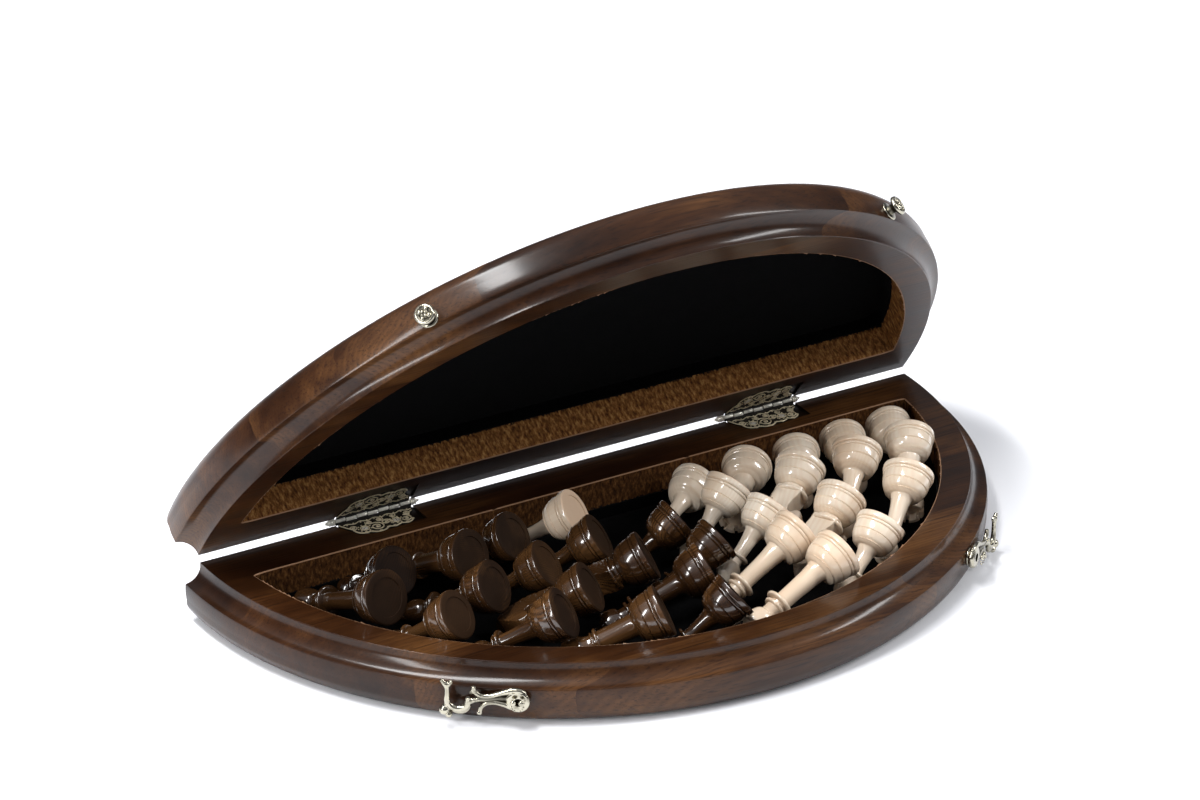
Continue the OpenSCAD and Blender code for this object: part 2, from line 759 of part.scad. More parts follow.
module lying_man(m) {
    ring = m[3];
    i = m[4];
    color(m[0] == "light" ? PALE_WOOD : DARK_WOOD)
        in_base()
            translate([0, 0, floor_z + flock_t + rest_gap])
                scale(men_scale)
                    rotate([0, 0, -mid_angle(ring, i)])
                        translate([lie_r(ring, i), half_span(ring, i), man_rise(ring, i)])
                            rotate([0, 90 + lean(ring, i), -90])
                                upright_man(m[1]);
}

base_shell();
base_flock();
base_light_squares();
base_dark_squares();
lid_shell();
lid_flock();
lid_light_squares();
lid_dark_squares();
left_hinge_base_leaf();
left_hinge_lid_leaf();
left_hinge_pin();
right_hinge_base_leaf();
right_hinge_lid_leaf();
right_hinge_pin();
base_hinge_screws();
lid_hinge_screws();
left_hook();
left_pivot_screw();
left_hook_washer();
right_hook();
right_pivot_screw();
right_hook_washer();
left_stud();
left_stud_ring();
right_stud();
right_stud_ring();
for (m = MEN)
    lying_man(m);
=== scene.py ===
# %% [markdown]
# # A half-round chess box with its men
# The box is two half-round trays of stained wood on a pair of ornamental brass hinges. Folded
# open all the way, their outer faces make one round chessboard. Here it stands part open, and
# the 32 turned men lie in the lower tray. The construction comes from a fixed frame of exact
# solids, and this script gives every piece its finished shape and surface.

# %% Load the frame
import json
import math
import random

import bpy
from mathutils import Matrix, Vector


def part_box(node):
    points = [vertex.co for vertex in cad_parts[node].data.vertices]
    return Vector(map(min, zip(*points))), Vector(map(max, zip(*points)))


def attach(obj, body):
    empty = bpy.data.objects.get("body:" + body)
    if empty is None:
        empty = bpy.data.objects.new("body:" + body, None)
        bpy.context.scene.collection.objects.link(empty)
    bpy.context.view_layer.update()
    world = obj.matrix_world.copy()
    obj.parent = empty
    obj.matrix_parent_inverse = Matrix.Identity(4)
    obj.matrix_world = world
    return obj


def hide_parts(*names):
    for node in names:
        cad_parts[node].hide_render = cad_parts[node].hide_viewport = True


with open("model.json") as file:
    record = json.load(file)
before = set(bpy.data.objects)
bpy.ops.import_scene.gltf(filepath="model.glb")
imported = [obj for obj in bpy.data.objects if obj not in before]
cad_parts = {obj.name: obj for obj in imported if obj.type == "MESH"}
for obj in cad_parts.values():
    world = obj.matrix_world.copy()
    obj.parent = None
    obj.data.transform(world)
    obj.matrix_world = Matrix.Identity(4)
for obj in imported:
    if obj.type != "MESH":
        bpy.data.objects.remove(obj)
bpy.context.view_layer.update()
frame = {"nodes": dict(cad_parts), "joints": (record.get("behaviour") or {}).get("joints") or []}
nodes = frame["nodes"]

# %% [markdown]
# The frame's own numbers place everything. Lengths are written in millimetres and turned into
# metres by MM. The straight back face of the lower tray is the line that all plan measures
# start from, so its place is read from the frame instead of being typed in.

# %% Places that the rest is built on
MM = 0.001
BACK_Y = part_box("base_shell")[1][1]
BODY_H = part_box("base_shell")[1][2]
LIP_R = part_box("base_shell")[1][0]
hinge = next(joint for joint in frame["joints"] if joint["name"] == "lid_hinge")
PIN = Vector(hinge["pos_m"])
OPEN_ANGLE = -math.radians(hinge["range_deg"][0])

on_base = Matrix.Translation((0, BACK_Y, 0))
mirror_up = Matrix.Translation((0, 0, 2 * PIN.z)) @ Matrix.Scale(-1, 4, (0, 0, 1))
swing_open = Matrix.Translation(PIN) @ Matrix.Rotation(-OPEN_ANGLE, 4, "X") @ Matrix.Translation(-PIN)
on_lid = swing_open @ mirror_up @ on_base
print("Back face at", round(BACK_Y / MM, 2), "mm, lid open by", round(math.degrees(OPEN_ANGLE), 1), "degrees")

# %% [markdown]
# ## Camera
# The picture was taken from a little to the left and above, with a long lens. The place and
# turn of the camera were worked out from points on the rim, the hinges and the latches.

# %% Camera
CAMERA_AT = Vector((-823.34 * MM, -1536.65 * MM + BACK_Y, 908.41 * MM))
CAMERA_AZIMUTH = math.radians(-28.73)
CAMERA_ELEVATION = math.radians(25.85)
CAMERA_ROLL = math.radians(-1.21)
LENS_MM = 117.55

away = Vector((math.sin(CAMERA_AZIMUTH) * math.cos(CAMERA_ELEVATION),
               -math.cos(CAMERA_AZIMUTH) * math.cos(CAMERA_ELEVATION),
               math.sin(CAMERA_ELEVATION)))
level = Vector((0, 0, 1)).cross(away).normalized()
upward = away.cross(level)
right = math.cos(CAMERA_ROLL) * level + math.sin(CAMERA_ROLL) * upward
up = math.cos(CAMERA_ROLL) * upward - math.sin(CAMERA_ROLL) * level
camera_data = bpy.data.cameras.new("camera")
camera_data.lens = LENS_MM
camera_data.sensor_width = 36
camera_data.clip_end = 20
camera = bpy.data.objects.new("camera", camera_data)
camera.matrix_world = Matrix.Translation(CAMERA_AT) @ Matrix((right, up, away)).transposed().to_4x4()
bpy.context.scene.collection.objects.link(camera)
bpy.context.scene.camera = camera
print("Camera at", [round(value, 3) for value in CAMERA_AT])

# %% [markdown]
# ## Hands of the workshop
# A few helpers do what a modeller's hands do again and again: start clean, drop a primitive,
# enter edit mode, finish a modifier, and bake the place of a piece into its mesh.

# %% Helpers for modelling
SAME_SPOT = 0.002 * MM


def clear_selection():
    bpy.ops.object.select_all(action="DESELECT")


def pick(piece):
    clear_selection()
    piece.select_set(True)
    bpy.context.view_layer.objects.active = piece


def edit(piece, select="SELECT"):
    pick(piece)
    bpy.context.tool_settings.mesh_select_mode = (True, False, False)
    bpy.ops.object.mode_set(mode="EDIT")
    bpy.ops.mesh.select_all(action=select)


def leave_edit():
    bpy.ops.object.mode_set(mode="OBJECT")


def apply_modifier(piece, kind, **settings):
    pick(piece)
    modifier = piece.modifiers.new(kind.lower(), kind)
    for key, value in settings.items():
        setattr(modifier, key, value)
    bpy.ops.object.modifier_apply(modifier=modifier.name)


def smooth(piece, angle=35):
    pick(piece)
    bpy.ops.object.shade_smooth_by_angle(angle=math.radians(angle))


def mark_edges(piece, wanted):
    """Picks the edges whose two ends pass a test, and goes to edit mode with them."""
    edit(piece, "DESELECT")
    leave_edit()
    for edge in piece.data.edges:
        edge.select = wanted(*[piece.data.vertices[i].co for i in edge.vertices])
    bpy.context.tool_settings.mesh_select_mode = (False, True, False)
    bpy.ops.object.mode_set(mode="EDIT")


def outward(piece):
    edit(piece)
    bpy.ops.mesh.normals_make_consistent(inside=False)
    leave_edit()


def place(piece, matrix):
    piece.data.transform(matrix)
    if matrix.determinant() < 0:
        piece.data.flip_normals()
    piece.data.update()


def shifted(x, y, z):
    return Matrix.Translation(Vector((x, y, z)) * MM)


def turned(degrees, axis):
    return Matrix.Rotation(math.radians(degrees), 4, axis)


def triangles(piece):
    piece.data.calc_loop_triangles()
    return len(piece.data.loop_triangles)


def cut(piece, cutter, operation="DIFFERENCE"):
    apply_modifier(piece, "BOOLEAN", object=cutter, operation=operation, solver="EXACT")
    bpy.data.objects.remove(cutter)


def join(pieces, name):
    clear_selection()
    for piece in pieces:
        piece.select_set(True)
    bpy.context.view_layer.objects.active = pieces[0]
    bpy.ops.object.join()
    pieces[0].name = name
    return pieces[0]


def applied():
    """The primitive just added, with its place and scale moved into its mesh."""
    bpy.ops.object.transform_apply(location=True, rotation=True, scale=True)
    return bpy.context.object


def copy_of(pattern, name):
    """A copy with a mesh of its own."""
    piece = pattern.copy()
    piece.data = pattern.data.copy()
    piece.name = name
    bpy.context.scene.collection.objects.link(piece)
    return piece


def draw(name, spots):
    """Extrudes one vertex from spot to spot, and stays in edit mode with the whole line picked."""
    bpy.ops.mesh.primitive_plane_add(size=MM)
    piece = bpy.context.object
    piece.name = name
    edit(piece)
    bpy.ops.mesh.merge(type="CENTER")
    bpy.ops.transform.translate(value=spots[0])
    for before, after in zip(spots, spots[1:]):
        bpy.ops.mesh.extrude_region_move(TRANSFORM_OT_translate={"value": after - before})
    bpy.ops.mesh.select_all(action="SELECT")
    return piece


def lathe(name, outline, steps=64, angle=math.tau):
    """Draws an outline of (radius, height) in mm, and spins it about Z."""
    piece = draw(name, [Vector((radius, 0, height)) * MM for radius, height in outline])
    bpy.ops.mesh.spin(steps=steps, angle=angle, center=(0, 0, 0), axis=(0, 0, 1))
    bpy.ops.mesh.select_all(action="SELECT")
    bpy.ops.mesh.remove_doubles(threshold=SAME_SPOT)
    leave_edit()
    outward(piece)
    return piece


def plate(name, points, low, high):
    """A flat plate: an outline in X and Y in mm, standing from one height to another."""
    piece = draw(name, [Vector((x, y, low)) * MM for x, y in points])
    bpy.ops.mesh.edge_face_add()
    bpy.ops.mesh.extrude_region_move(TRANSFORM_OT_translate={"value": (0, 0, (high - low) * MM)})
    bpy.ops.mesh.select_all(action="SELECT")
    bpy.ops.mesh.normals_make_consistent(inside=False)
    leave_edit()
    return piece


def rod(x, y, radius, low, high, sides=32):
    """An upright cylinder, measured in mm."""
    bpy.ops.mesh.primitive_cylinder_add(vertices=sides, radius=radius * MM, depth=(high - low) * MM,
                                        location=(x * MM, y * MM, (low + high) / 2 * MM))
    return applied()


def ball(x, y, z, radius, flat=1.0, segments=20):
    """A ball in mm, pressed flat along Z if asked."""
    bpy.ops.mesh.primitive_uv_sphere_add(segments=segments, ring_count=segments // 2, radius=radius * MM,
                                         location=(x * MM, y * MM, z * MM), scale=(1, 1, flat))
    return applied()


def wire(name, points, radii, closed=False):
    """A round wire along (x, y, z) points in mm. Its radius may change from point to point."""
    spots = [Vector(point) * MM for point in points]
    piece = draw(name, spots + spots[:1] if closed else spots)
    bpy.ops.mesh.remove_doubles(threshold=SAME_SPOT)
    leave_edit()
    pick(piece)
    bpy.ops.object.convert(target="CURVE")
    piece = bpy.context.object
    piece.data.bevel_depth = MM
    piece.data.bevel_resolution = 3
    piece.data.use_fill_caps = True
    for point in piece.data.splines[0].points:
        point.radius = min(zip(spots, radii), key=lambda pair: (pair[0] - point.co.xyz).length)[1]
    bpy.ops.object.convert(target="MESH")
    return bpy.context.object


def arc(x, y, radius, first, last, count):
    """Points round a circle, from one angle to another in degrees."""
    turns = [math.radians(first + (last - first) * i / count) for i in range(count + 1)]
    return [(x + radius * math.cos(turn), y + radius * math.sin(turn)) for turn in turns]


def bow(x, z, wide, high, first, last, count):
    """Points round an ellipse that rises from (x, z), from one angle to another in degrees."""
    turns = [math.radians(first + (last - first) * i / count) for i in range(count + 1)]
    return [(x + wide * math.sin(turn), z + high * (1 - math.cos(turn))) for turn in turns]


def box(name, low, high):
    """A block between two corners in mm."""
    centre = [(a + b) / 2 * MM for a, b in zip(low, high)]
    bpy.ops.mesh.primitive_cube_add(size=1, location=centre)
    block = bpy.context.object
    block.name = name
    block.scale = [(b - a) * MM for a, b in zip(low, high)]
    return applied()


def wear_material(piece, *materials):
    piece.data.materials.clear()
    for material in materials:
        piece.data.materials.append(material)


def store(piece, name, values, kind="FLOAT"):
    """Keeps a value for each vertex on the mesh, where materials can read it."""
    kept = piece.data.attributes.get(name) or piece.data.attributes.new(name, kind, "POINT")
    kept.data.foreach_set("vector" if kind == "FLOAT_VECTOR" else "value", values)


print("Helpers ready")

# %% [markdown]
# ## The case
# Each half is milled from one glued panel. Its edge runs down from a flat rim through a hollow
# cove to a sharp arris, then over a narrow upright band and a round lower edge. A lathe would
# turn a whole disc of that section, so the half is spun through half a turn, closed at its
# straight back, and the hollow is cut out of it as a router would.

# %% Measures of the case, in millimetres
RIM_R = 200.0
RIM_W = 15.0
RAIL_W = 24.5
HOLLOW_DEPTH = 22.0
CORNER_R = 9.0
CORNER_FIT = 1.05
COVE_DROP = 9.4
COVE_R = LIP_R / MM - RIM_R
ROUND_R = 11.0
BODY_MM = BODY_H / MM
LIP_MM = LIP_R / MM
FLOOR_MM = BODY_MM - HOLLOW_DEPTH
SQUARE = 33.0
BOARD_EDGE = 1.5
VENEER_T = 1.2
EASED = 0.35
CROWN = 0.3
WORN = 0.5
HINGES = {"left": -107.0, "right": 112.5}
BARREL_LEN = 41.0
LEAF_T = 1.0
RECESS = [(-0.8, 1), (-0.8, -1.5), (5.2, -14.2), (11.5, -16.6), (22, -16.6), (36.4, -15.4),
          (BARREL_LEN, -15.4), (BARREL_LEN, 1)]
WORN_HIGHLIGHT_SLOT = 2
MORTISE_SHADE_SLOT = 3


def case_outline():
    """The section of a half, from the axis under it round its edge to the axis above."""
    round_x = LIP_MM - ROUND_R
    arris_z = BODY_MM - COVE_DROP
    return ([(0, 0), (60, 0), (120, 0), (round_x - 8, 0)]
            + arc(round_x, ROUND_R, ROUND_R, -90, -12, 11)
            + [(LIP_MM - CROWN * (i / 4 - 1) ** 2, ROUND_R + (arris_z - EASED - ROUND_R) * i / 8)
               for i in range(9)]
            + [(LIP_MM - CROWN - 0.12, arris_z - 0.08), (LIP_MM - CROWN - EASED, arris_z)]
            + arc(LIP_MM, arris_z + COVE_R, COVE_R, 265, 180, 12)
            + [(RIM_R, BODY_MM - EASED), (RIM_R - 0.1, BODY_MM - 0.1), (RIM_R - EASED, BODY_MM)]
            + [(120, BODY_MM), (60, BODY_MM), (0, BODY_MM)])


print("Section of the case has", len(case_outline()), "points")

# %% Spin a half and cut its hollow
def hollow_cutter():
    """A half-round block with rounded corners, standing on the hollow's floor and past its rim."""
    depth = HOLLOW_DEPTH + 5
    back = -RAIL_W * MM
    bpy.ops.mesh.primitive_cylinder_add(vertices=360, radius=(RIM_R - RIM_W) * MM, depth=depth * MM,
                                        location=(0, 0, (FLOOR_MM + depth / 2) * MM))
    block = applied()
    edit(block)
    bpy.ops.mesh.bisect(plane_co=(0, back, 0), plane_no=(0, 1, 0), use_fill=True, clear_outer=True)
    leave_edit()
    mark_edges(block, lambda one, other: max(abs(one.y - back), abs(other.y - back)) < SAME_SPOT
               and abs(one.z - other.z) > depth * MM / 2)
    bpy.ops.mesh.bevel(offset=CORNER_R * CORNER_FIT * MM, segments=12, affect="EDGES")
    leave_edit()
    return block


def case_half(name):
    half = lathe(name, case_outline(), steps=180, angle=math.pi)
    edit(half)
    bpy.ops.mesh.region_to_loop()
    bpy.ops.mesh.edge_face_add()
    leave_edit()
    outward(half)
    cut(half, hollow_cutter())
    board = 4 * SQUARE
    cut(half, box("pocket", (-board, -BOARD_EDGE - board, -2), (board, -BOARD_EDGE, VENEER_T)))
    ease_the_hollow(half)
    for x in HINGES.values():
        recess = plate("recess", RECESS, BODY_MM - LEAF_T, BODY_MM + 1)
        place(recess, shifted(x - BARREL_LEN / 2, 0, 0))
        cut(half, recess)
    return half


def ease_the_hollow(half):
    """Breaks the sharp upper edge of the hollow, and marks the narrow faces for the lighter wood of a rubbed
    edge with a painted highlight.
    """
    wear_material(half, None, None, None, None)
    inner = (RIM_R - RIM_W + 0.1) * MM
    mark_edges(half, lambda *ends: all(end.z > BODY_H - 0.01 * MM and end.xy.length < inner
                                       and end.y < -(RAIL_W - 0.1) * MM for end in ends))
    bpy.ops.mesh.bevel(offset=WORN * MM, segments=2, affect="EDGES", material=WORN_HIGHLIGHT_SLOT)
    leave_edit()


base_case = case_half("base_case")
print("Base half:", triangles(base_case), "triangles")

# %% [markdown]
# ## Node groups that several finishes share
# Wood is not a picture on a surface: it is a solid with long fibres, so its pattern is built in
# three dimensions and stretched along the grain. One group gives the slow bands of growth, the
# fine pores and the small rays, as masks that each wood then colours in its own way.

# %% Helpers for materials
def group(name, inputs, outputs):
    """A shader node group with its own sockets: (kind, name, default) in, (kind, name) out."""
    tree = bpy.data.node_groups.new(name, "ShaderNodeTree")
    for kind, label, default in inputs:
        socket = tree.interface.new_socket(label, in_out="INPUT", socket_type="NodeSocket" + kind)
        if default is not None:
            socket.default_value = default
    for kind, label in outputs:
        tree.interface.new_socket(label, in_out="OUTPUT", socket_type="NodeSocket" + kind)
    return tree, tree.nodes.new("NodeGroupInput"), tree.nodes.new("NodeGroupOutput")


def add(tree, kind, inputs=None, **settings):
    """Adds a node, sets its properties, and fills or links its inputs by name or number."""
    node = tree.nodes.new("ShaderNode" + kind)
    for key, value in settings.items():
        setattr(node, key, value)
    for key, value in (inputs or {}).items():
        if isinstance(value, bpy.types.NodeSocket):
            tree.links.new(value, node.inputs[key])
        else:
            node.inputs[key].default_value = value
    return node


def ramp(tree, value, *stops):
    """A colour ramp from (position, colour) stops, greys given as one number."""
    node = add(tree, "ValToRGB", {0: value})
    elements = node.color_ramp.elements
    while len(elements) < len(stops):
        elements.new(0.5)
    for element, (position, colour) in zip(elements, stops):
        element.position = position
        element.color = (colour,) * 3 + (1,) if isinstance(colour, (int, float)) else (*colour, 1)
    return node.outputs[0]


def mix(tree, factor, first, second, mode="MIX"):
    node = tree.nodes.new("ShaderNodeMix")
    node.data_type = "RGBA"
    node.blend_type = mode
    for socket, value in zip((node.inputs[0], node.inputs[6], node.inputs[7]), (factor, first, second)):
        if isinstance(value, bpy.types.NodeSocket):
            tree.links.new(value, socket)
        elif isinstance(value, (int, float)):
            socket.default_value = value
        else:
            socket.default_value = (*value, 1)
    return node.outputs[2]


def math_node(tree, operation, first, second=0.0):
    return add(tree, "Math", {0: first, 1: second}, operation=operation).outputs[0]


def times(tree, first, second):
    return math_node(tree, "MULTIPLY", first, second)


def times_plus(tree, first, factor, added):
    return add(tree, "Math", {0: first, 1: factor, 2: added}, operation="MULTIPLY_ADD").outputs[0]


def object_place(tree):
    return add(tree, "TexCoord").outputs["Object"]


def roughen(tree, shader, strength, depth, height):
    """A bump of a strength, with a depth in mm."""
    bump = add(tree, "Bump", {"Strength": strength, "Distance": depth * MM, "Height": height})
    tree.links.new(bump.outputs[0], shader.inputs["Normal"])


def finish_material(name, **values):
    """A new material with a Principled shader whose plain numbers are set on its own sockets."""
    material = bpy.data.materials.new(name)
    material.use_nodes = True
    tree = material.node_tree
    shader = tree.nodes["Principled BSDF"]
    for key, value in values.items():
        shader.inputs[key.replace("_", " ")].default_value = value
    return material, tree, shader


print("Helpers for materials ready")

# %% The grain of solid wood
grain_group, ins, outs = group(
    "wood_grain",
    [("Vector", "Vector", None), ("Float", "Ring Width", 6.0), ("Float", "Seed", 0.0)],
    [("Float", "Bands"), ("Float", "Pores"), ("Float", "Rays"), ("Float", "Cloud")])
tree = grain_group
shift = add(tree, "CombineXYZ", {0: ins.outputs["Seed"], 1: ins.outputs["Seed"], 2: ins.outputs["Seed"]})
moved = add(tree, "VectorMath", {0: ins.outputs["Vector"], 1: shift.outputs[0]}, operation="ADD").outputs[0]


def stretched(tree, vector, scale):
    return add(tree, "Mapping", {"Vector": vector, "Scale": scale}).outputs[0]


sway = add(tree, "TexNoise", {"Vector": stretched(tree, moved, (4, 14, 14)), "Scale": 1.0, "Detail": 3.0})
cloud = add(tree, "TexNoise", {"Vector": stretched(tree, moved, (7, 25, 25)), "Scale": 1.0, "Detail": 4.0,
                               "Roughness": 0.6})
apart = add(tree, "SeparateXYZ", {0: moved})
height = times(tree, apart.outputs[2], 0.55)
across = math_node(tree, "ADD", apart.outputs[1], height)
swayed = times_plus(tree, sway.outputs[0], 0.035, across)
phase = times(tree, swayed, 1000 * math.tau)
phase = math_node(tree, "DIVIDE", phase, ins.outputs["Ring Width"])
bands = math_node(tree, "SINE", phase)
bands = times_plus(tree, bands, 0.5, 0.5)
along_pores = stretched(tree, moved, (28, 1150, 1150))
fine = add(tree, "TexNoise", {"Vector": along_pores, "Scale": 1.0, "Detail": 2.0})
pores = ramp(tree, fine.outputs[0], (0.30, 1.0), (0.46, 0.0))
along_rays = stretched(tree, moved, (260, 900, 2200))
ticks = add(tree, "TexNoise", {"Vector": along_rays, "Scale": 1.0, "Detail": 1.0})
rays = ramp(tree, ticks.outputs[0], (0.60, 0.0), (0.72, 1.0))
for value, label in ((bands, "Bands"), (pores, "Pores"), (rays, "Rays"), (cloud.outputs[0], "Cloud")):
    tree.links.new(value, outs.inputs[label])
print("Group wood_grain has", len(tree.nodes), "nodes")

# %% [markdown]
# The case is a stained hardwood, with boards glued edge to edge along the hinge line. Each
# board takes the stain a little differently. Where the router left the walls of the hollow
# unsanded, the wood stays lighter, fuzzy and blotched, so those faces get a finish of their own;
# in the lower tray that finish is darkened as a painted shade.

# %% Wood of the case
BOARD_W = 46.0
FLOCK_H = 7.0


def grain_nodes(tree, vector, ring, seed=0.0):
    """Puts the grain group in a material, and hands back its masks by name."""
    node = tree.nodes.new("ShaderNodeGroup")
    node.node_tree = grain_group
    tree.links.new(vector, node.inputs["Vector"])
    node.inputs["Ring Width"].default_value = ring
    node.inputs["Seed"].default_value = seed
    return node.outputs


def figured(tree, grain, tones, band_share, pore_share, dark):
    """A wood's colour: three tones in slow clouds, then the growth bands and the pores in a dark one."""
    cloud = ramp(tree, grain["Cloud"], *zip((0.34, 0.5, 0.66), tones))
    banded = mix(tree, times(tree, grain["Bands"], band_share), cloud, dark)
    return mix(tree, times(tree, grain["Pores"], pore_share), banded, dark)


def case_coordinates(tree, on_the_lid):
    """Object coordinates, turned back by the opening angle on the lid so the grain lies flat."""
    coordinates = object_place(tree)
    turn = OPEN_ANGLE if on_the_lid else 0.0
    shift = PIN - Matrix.Rotation(turn, 3, "X") @ PIN
    mapped = add(tree, "Mapping", {"Vector": coordinates, "Location": shift, "Rotation": (turn, 0, 0)})
    return mapped.outputs[0]


# A lighter brown for the hollow's broken edge: partly a rubbed edge, partly a painted highlight.
WORN_EDGE_AND_HIGHLIGHT = (0.7, (0.42, 0.24, 0.14))
# A painted shade, near black, for the bare wood of each hinge mortise.
PAINTED_RECESS_SHADE = (0.9, (0.003, 0.0016, 0.001))


def case_wood(name, on_the_lid, milled=False, overlay=None):
    material, tree, shader = finish_material(
        name, Coat_Weight=0.0 if milled else 0.38, Coat_Roughness=0.15, Specular_IOR_Level=0.1)
    place_in_case = case_coordinates(tree, on_the_lid)
    apart = add(tree, "SeparateXYZ", {0: place_in_case})
    board = math_node(tree, "FLOOR", math_node(tree, "DIVIDE", apart.outputs[1], BOARD_W * MM))
    tone = add(tree, "TexWhiteNoise", {"W": board}, noise_dimensions="1D").outputs[0]
    offset = add(tree, "CombineXYZ", {0: times(tree, tone, 3.0), 1: tone, 2: 0.0})
    moved = add(tree, "VectorMath", {0: place_in_case, 1: offset.outputs[0]}, operation="ADD")
    vector = moved.outputs[0]
    grain = grain_nodes(tree, vector, 2.6, 0.3 if on_the_lid else 0.0)
    cloud = ramp(tree, grain["Cloud"], (0.34, (0.009, 0.0028, 0.0009)), (0.50, (0.030, 0.0105, 0.0031)),
                 (0.66, (0.088, 0.036, 0.0105)))
    banded = mix(tree, times(tree, grain["Bands"], 0.3), cloud, (0.018, 0.006, 0.002))
    toned = mix(tree, times(tree, tone, 0.6), banded, (1.6, 1.55, 1.5), "MULTIPLY")
    rayed = mix(tree, times(tree, grain["Rays"], 0.35), toned, (0.012, 0.005, 0.002))
    colour = mix(tree, times(tree, grain["Pores"], 0.6), rayed, (0.004, 0.0015, 0.0008))
    relief = math_node(tree, "ADD", times(tree, grain["Pores"], -1.0), times(tree, grain["Bands"], 0.15))
    # The colour laid over here lightens the hollow's broken edge, partly wear and partly a painted highlight,
    # and darkens the mortises near black as a painted shade.
    if overlay:
        colour = mix(tree, overlay[0], colour, overlay[1])
    if milled:
        colour, blotches = milled_colour(tree, vector, apart.outputs[2], colour, on_the_lid)
        relief = math_node(tree, "ADD", relief, times(tree, blotches, 4.0))
    tree.links.new(colour, shader.inputs["Base Color"])
    roughen(tree, shader, 0.8 if milled else 0.2, 0.12, relief)
    least, most = (0.8, 0.95) if milled else (0.30, 0.46)
    tree.links.new(ramp(tree, grain["Cloud"], (0.3, least), (0.7, most)), shader.inputs["Roughness"])
    return material


def milled_colour(tree, vector, wall_z, colour, on_the_lid):
    """The blotched gold of unsanded wood down to the ragged edge of the flock, and the blotches; on the
    tray's walls the gold gets a painted shade.
    """
    slanted = add(tree, "Mapping", {"Vector": vector, "Rotation": (0, 0.5, 0), "Scale": (620, 620, 260)})
    blotch = add(tree, "TexNoise", {"Vector": slanted.outputs[0], "Scale": 1.0, "Detail": 6.0,
                                    "Roughness": 0.7})
    spots = ramp(tree, blotch.outputs[0], (0.34, (0.042, 0.014, 0.004)), (0.50, (0.23, 0.095, 0.026)),
                 (0.66, (0.60, 0.30, 0.10)))
    golden = mix(tree, 0.85, colour, spots)
    if on_the_lid:
        wall_z = math_node(tree, "SUBTRACT", 2 * PIN.z, wall_z)
    else:
        # Painted shade: the tray's walls are the lid's milled wood darkened to 0.3 of its colour.
        golden = mix(tree, 1.0, golden, (0.3, 0.27, 0.25), "MULTIPLY")
    fuzz = add(tree, "TexNoise", {"Vector": stretched(tree, vector, (700, 700, 500)), "Scale": 1.0,
                                  "Detail": 3.0})
    ragged = times_plus(tree, fuzz.outputs[0], -5 * MM, wall_z)
    over_flock = math_node(tree, "SUBTRACT", ragged, (FLOOR_MM + FLOCK_H - 2.6) * MM)
    shown = ramp(tree, math_node(tree, "DIVIDE", over_flock, MM), (0.0, 0.0), (0.8, 1.0))
    return mix(tree, shown, (0.004, 0.004, 0.004), golden), blotch.outputs[0]


base_wood = case_wood("base_wood", False)
base_milled_shade = case_wood("base_milled_shade_wood", False, milled=True)
base_wear_and_painted_light = case_wood("base_wear_and_painted_light_wood", False, overlay=WORN_EDGE_AND_HIGHLIGHT)
base_mortise_shade = case_wood("base_mortise_shade_wood", False, overlay=PAINTED_RECESS_SHADE)
lid_wood = case_wood("lid_wood", True)
lid_milled = case_wood("lid_milled_wood", True, milled=True)
lid_wear_and_painted_light = case_wood("lid_wear_and_painted_light_wood", True, overlay=WORN_EDGE_AND_HIGHLIGHT)
lid_mortise_shade = case_wood("lid_mortise_shade_wood", True, overlay=PAINTED_RECESS_SHADE)
print("Case woods:", [item.name for item in bpy.data.materials])

# %% Finish the two halves
def face_the_hollow(half, woods):
    """Gives the hollow's walls the milled finish and the bare wood of the mortises a painted shade, near
    black, before placing.
    """
    inner = (RIM_R - RIM_W + 1) * MM
    for face in half.data.polygons:
        flat_out = abs(face.normal.z) < 0.5
        within = face.center.xy.length < inner and face.center.y < -(RAIL_W - 1) * MM
        above = face.center.z > (FLOOR_MM - 1) * MM
        if face.material_index != WORN_HIGHLIGHT_SLOT:
            face.material_index = 1 if flat_out and within and above else 0
        sunk = 0.05 < BODY_MM - face.center.z / MM < LEAF_T + 0.05
        at_a_hinge = any(abs(face.center.x / MM - x) < 24 for x in HINGES.values())
        # The mortise's bare wood beside the leaf gets a painted shade, near black.
        if sunk and at_a_hinge and face.center.y > -18 * MM:
            face.material_index = MORTISE_SHADE_SLOT
    for slot, material in enumerate(woods):
        half.data.materials[slot] = material


lid_case = copy_of(base_case, "lid_case")
for half, spot, woods, body, node in (
        (base_case, on_base, (base_wood, base_milled_shade, base_wear_and_painted_light, base_mortise_shade), "tray", "base_shell"),
        (lid_case, on_lid, (lid_wood, lid_milled, lid_wear_and_painted_light, lid_mortise_shade), "lid", "lid_shell")):
    face_the_hollow(half, woods)
    level_faces = [abs(face.normal.z) > 0.9999 for face in half.data.polygons]
    place(half, spot)
    smooth(half, 18)
    for face, is_level in zip(half.data.polygons, level_faces):
        face.use_smooth = not is_level
    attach(half, body)
    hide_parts(node)
print("Halves placed:", triangles(base_case), triangles(lid_case), "triangles")

# %% [markdown]
# ## Flock and veneers
# These nodes of the frame keep their own shape: the flock is a thin even skin, and the veneers
# are flat squares set flush. The flock drinks all light but for a little dust on its hairs. Each
# veneer square was cut from another part of the sheet, so its figure and tone are its own.

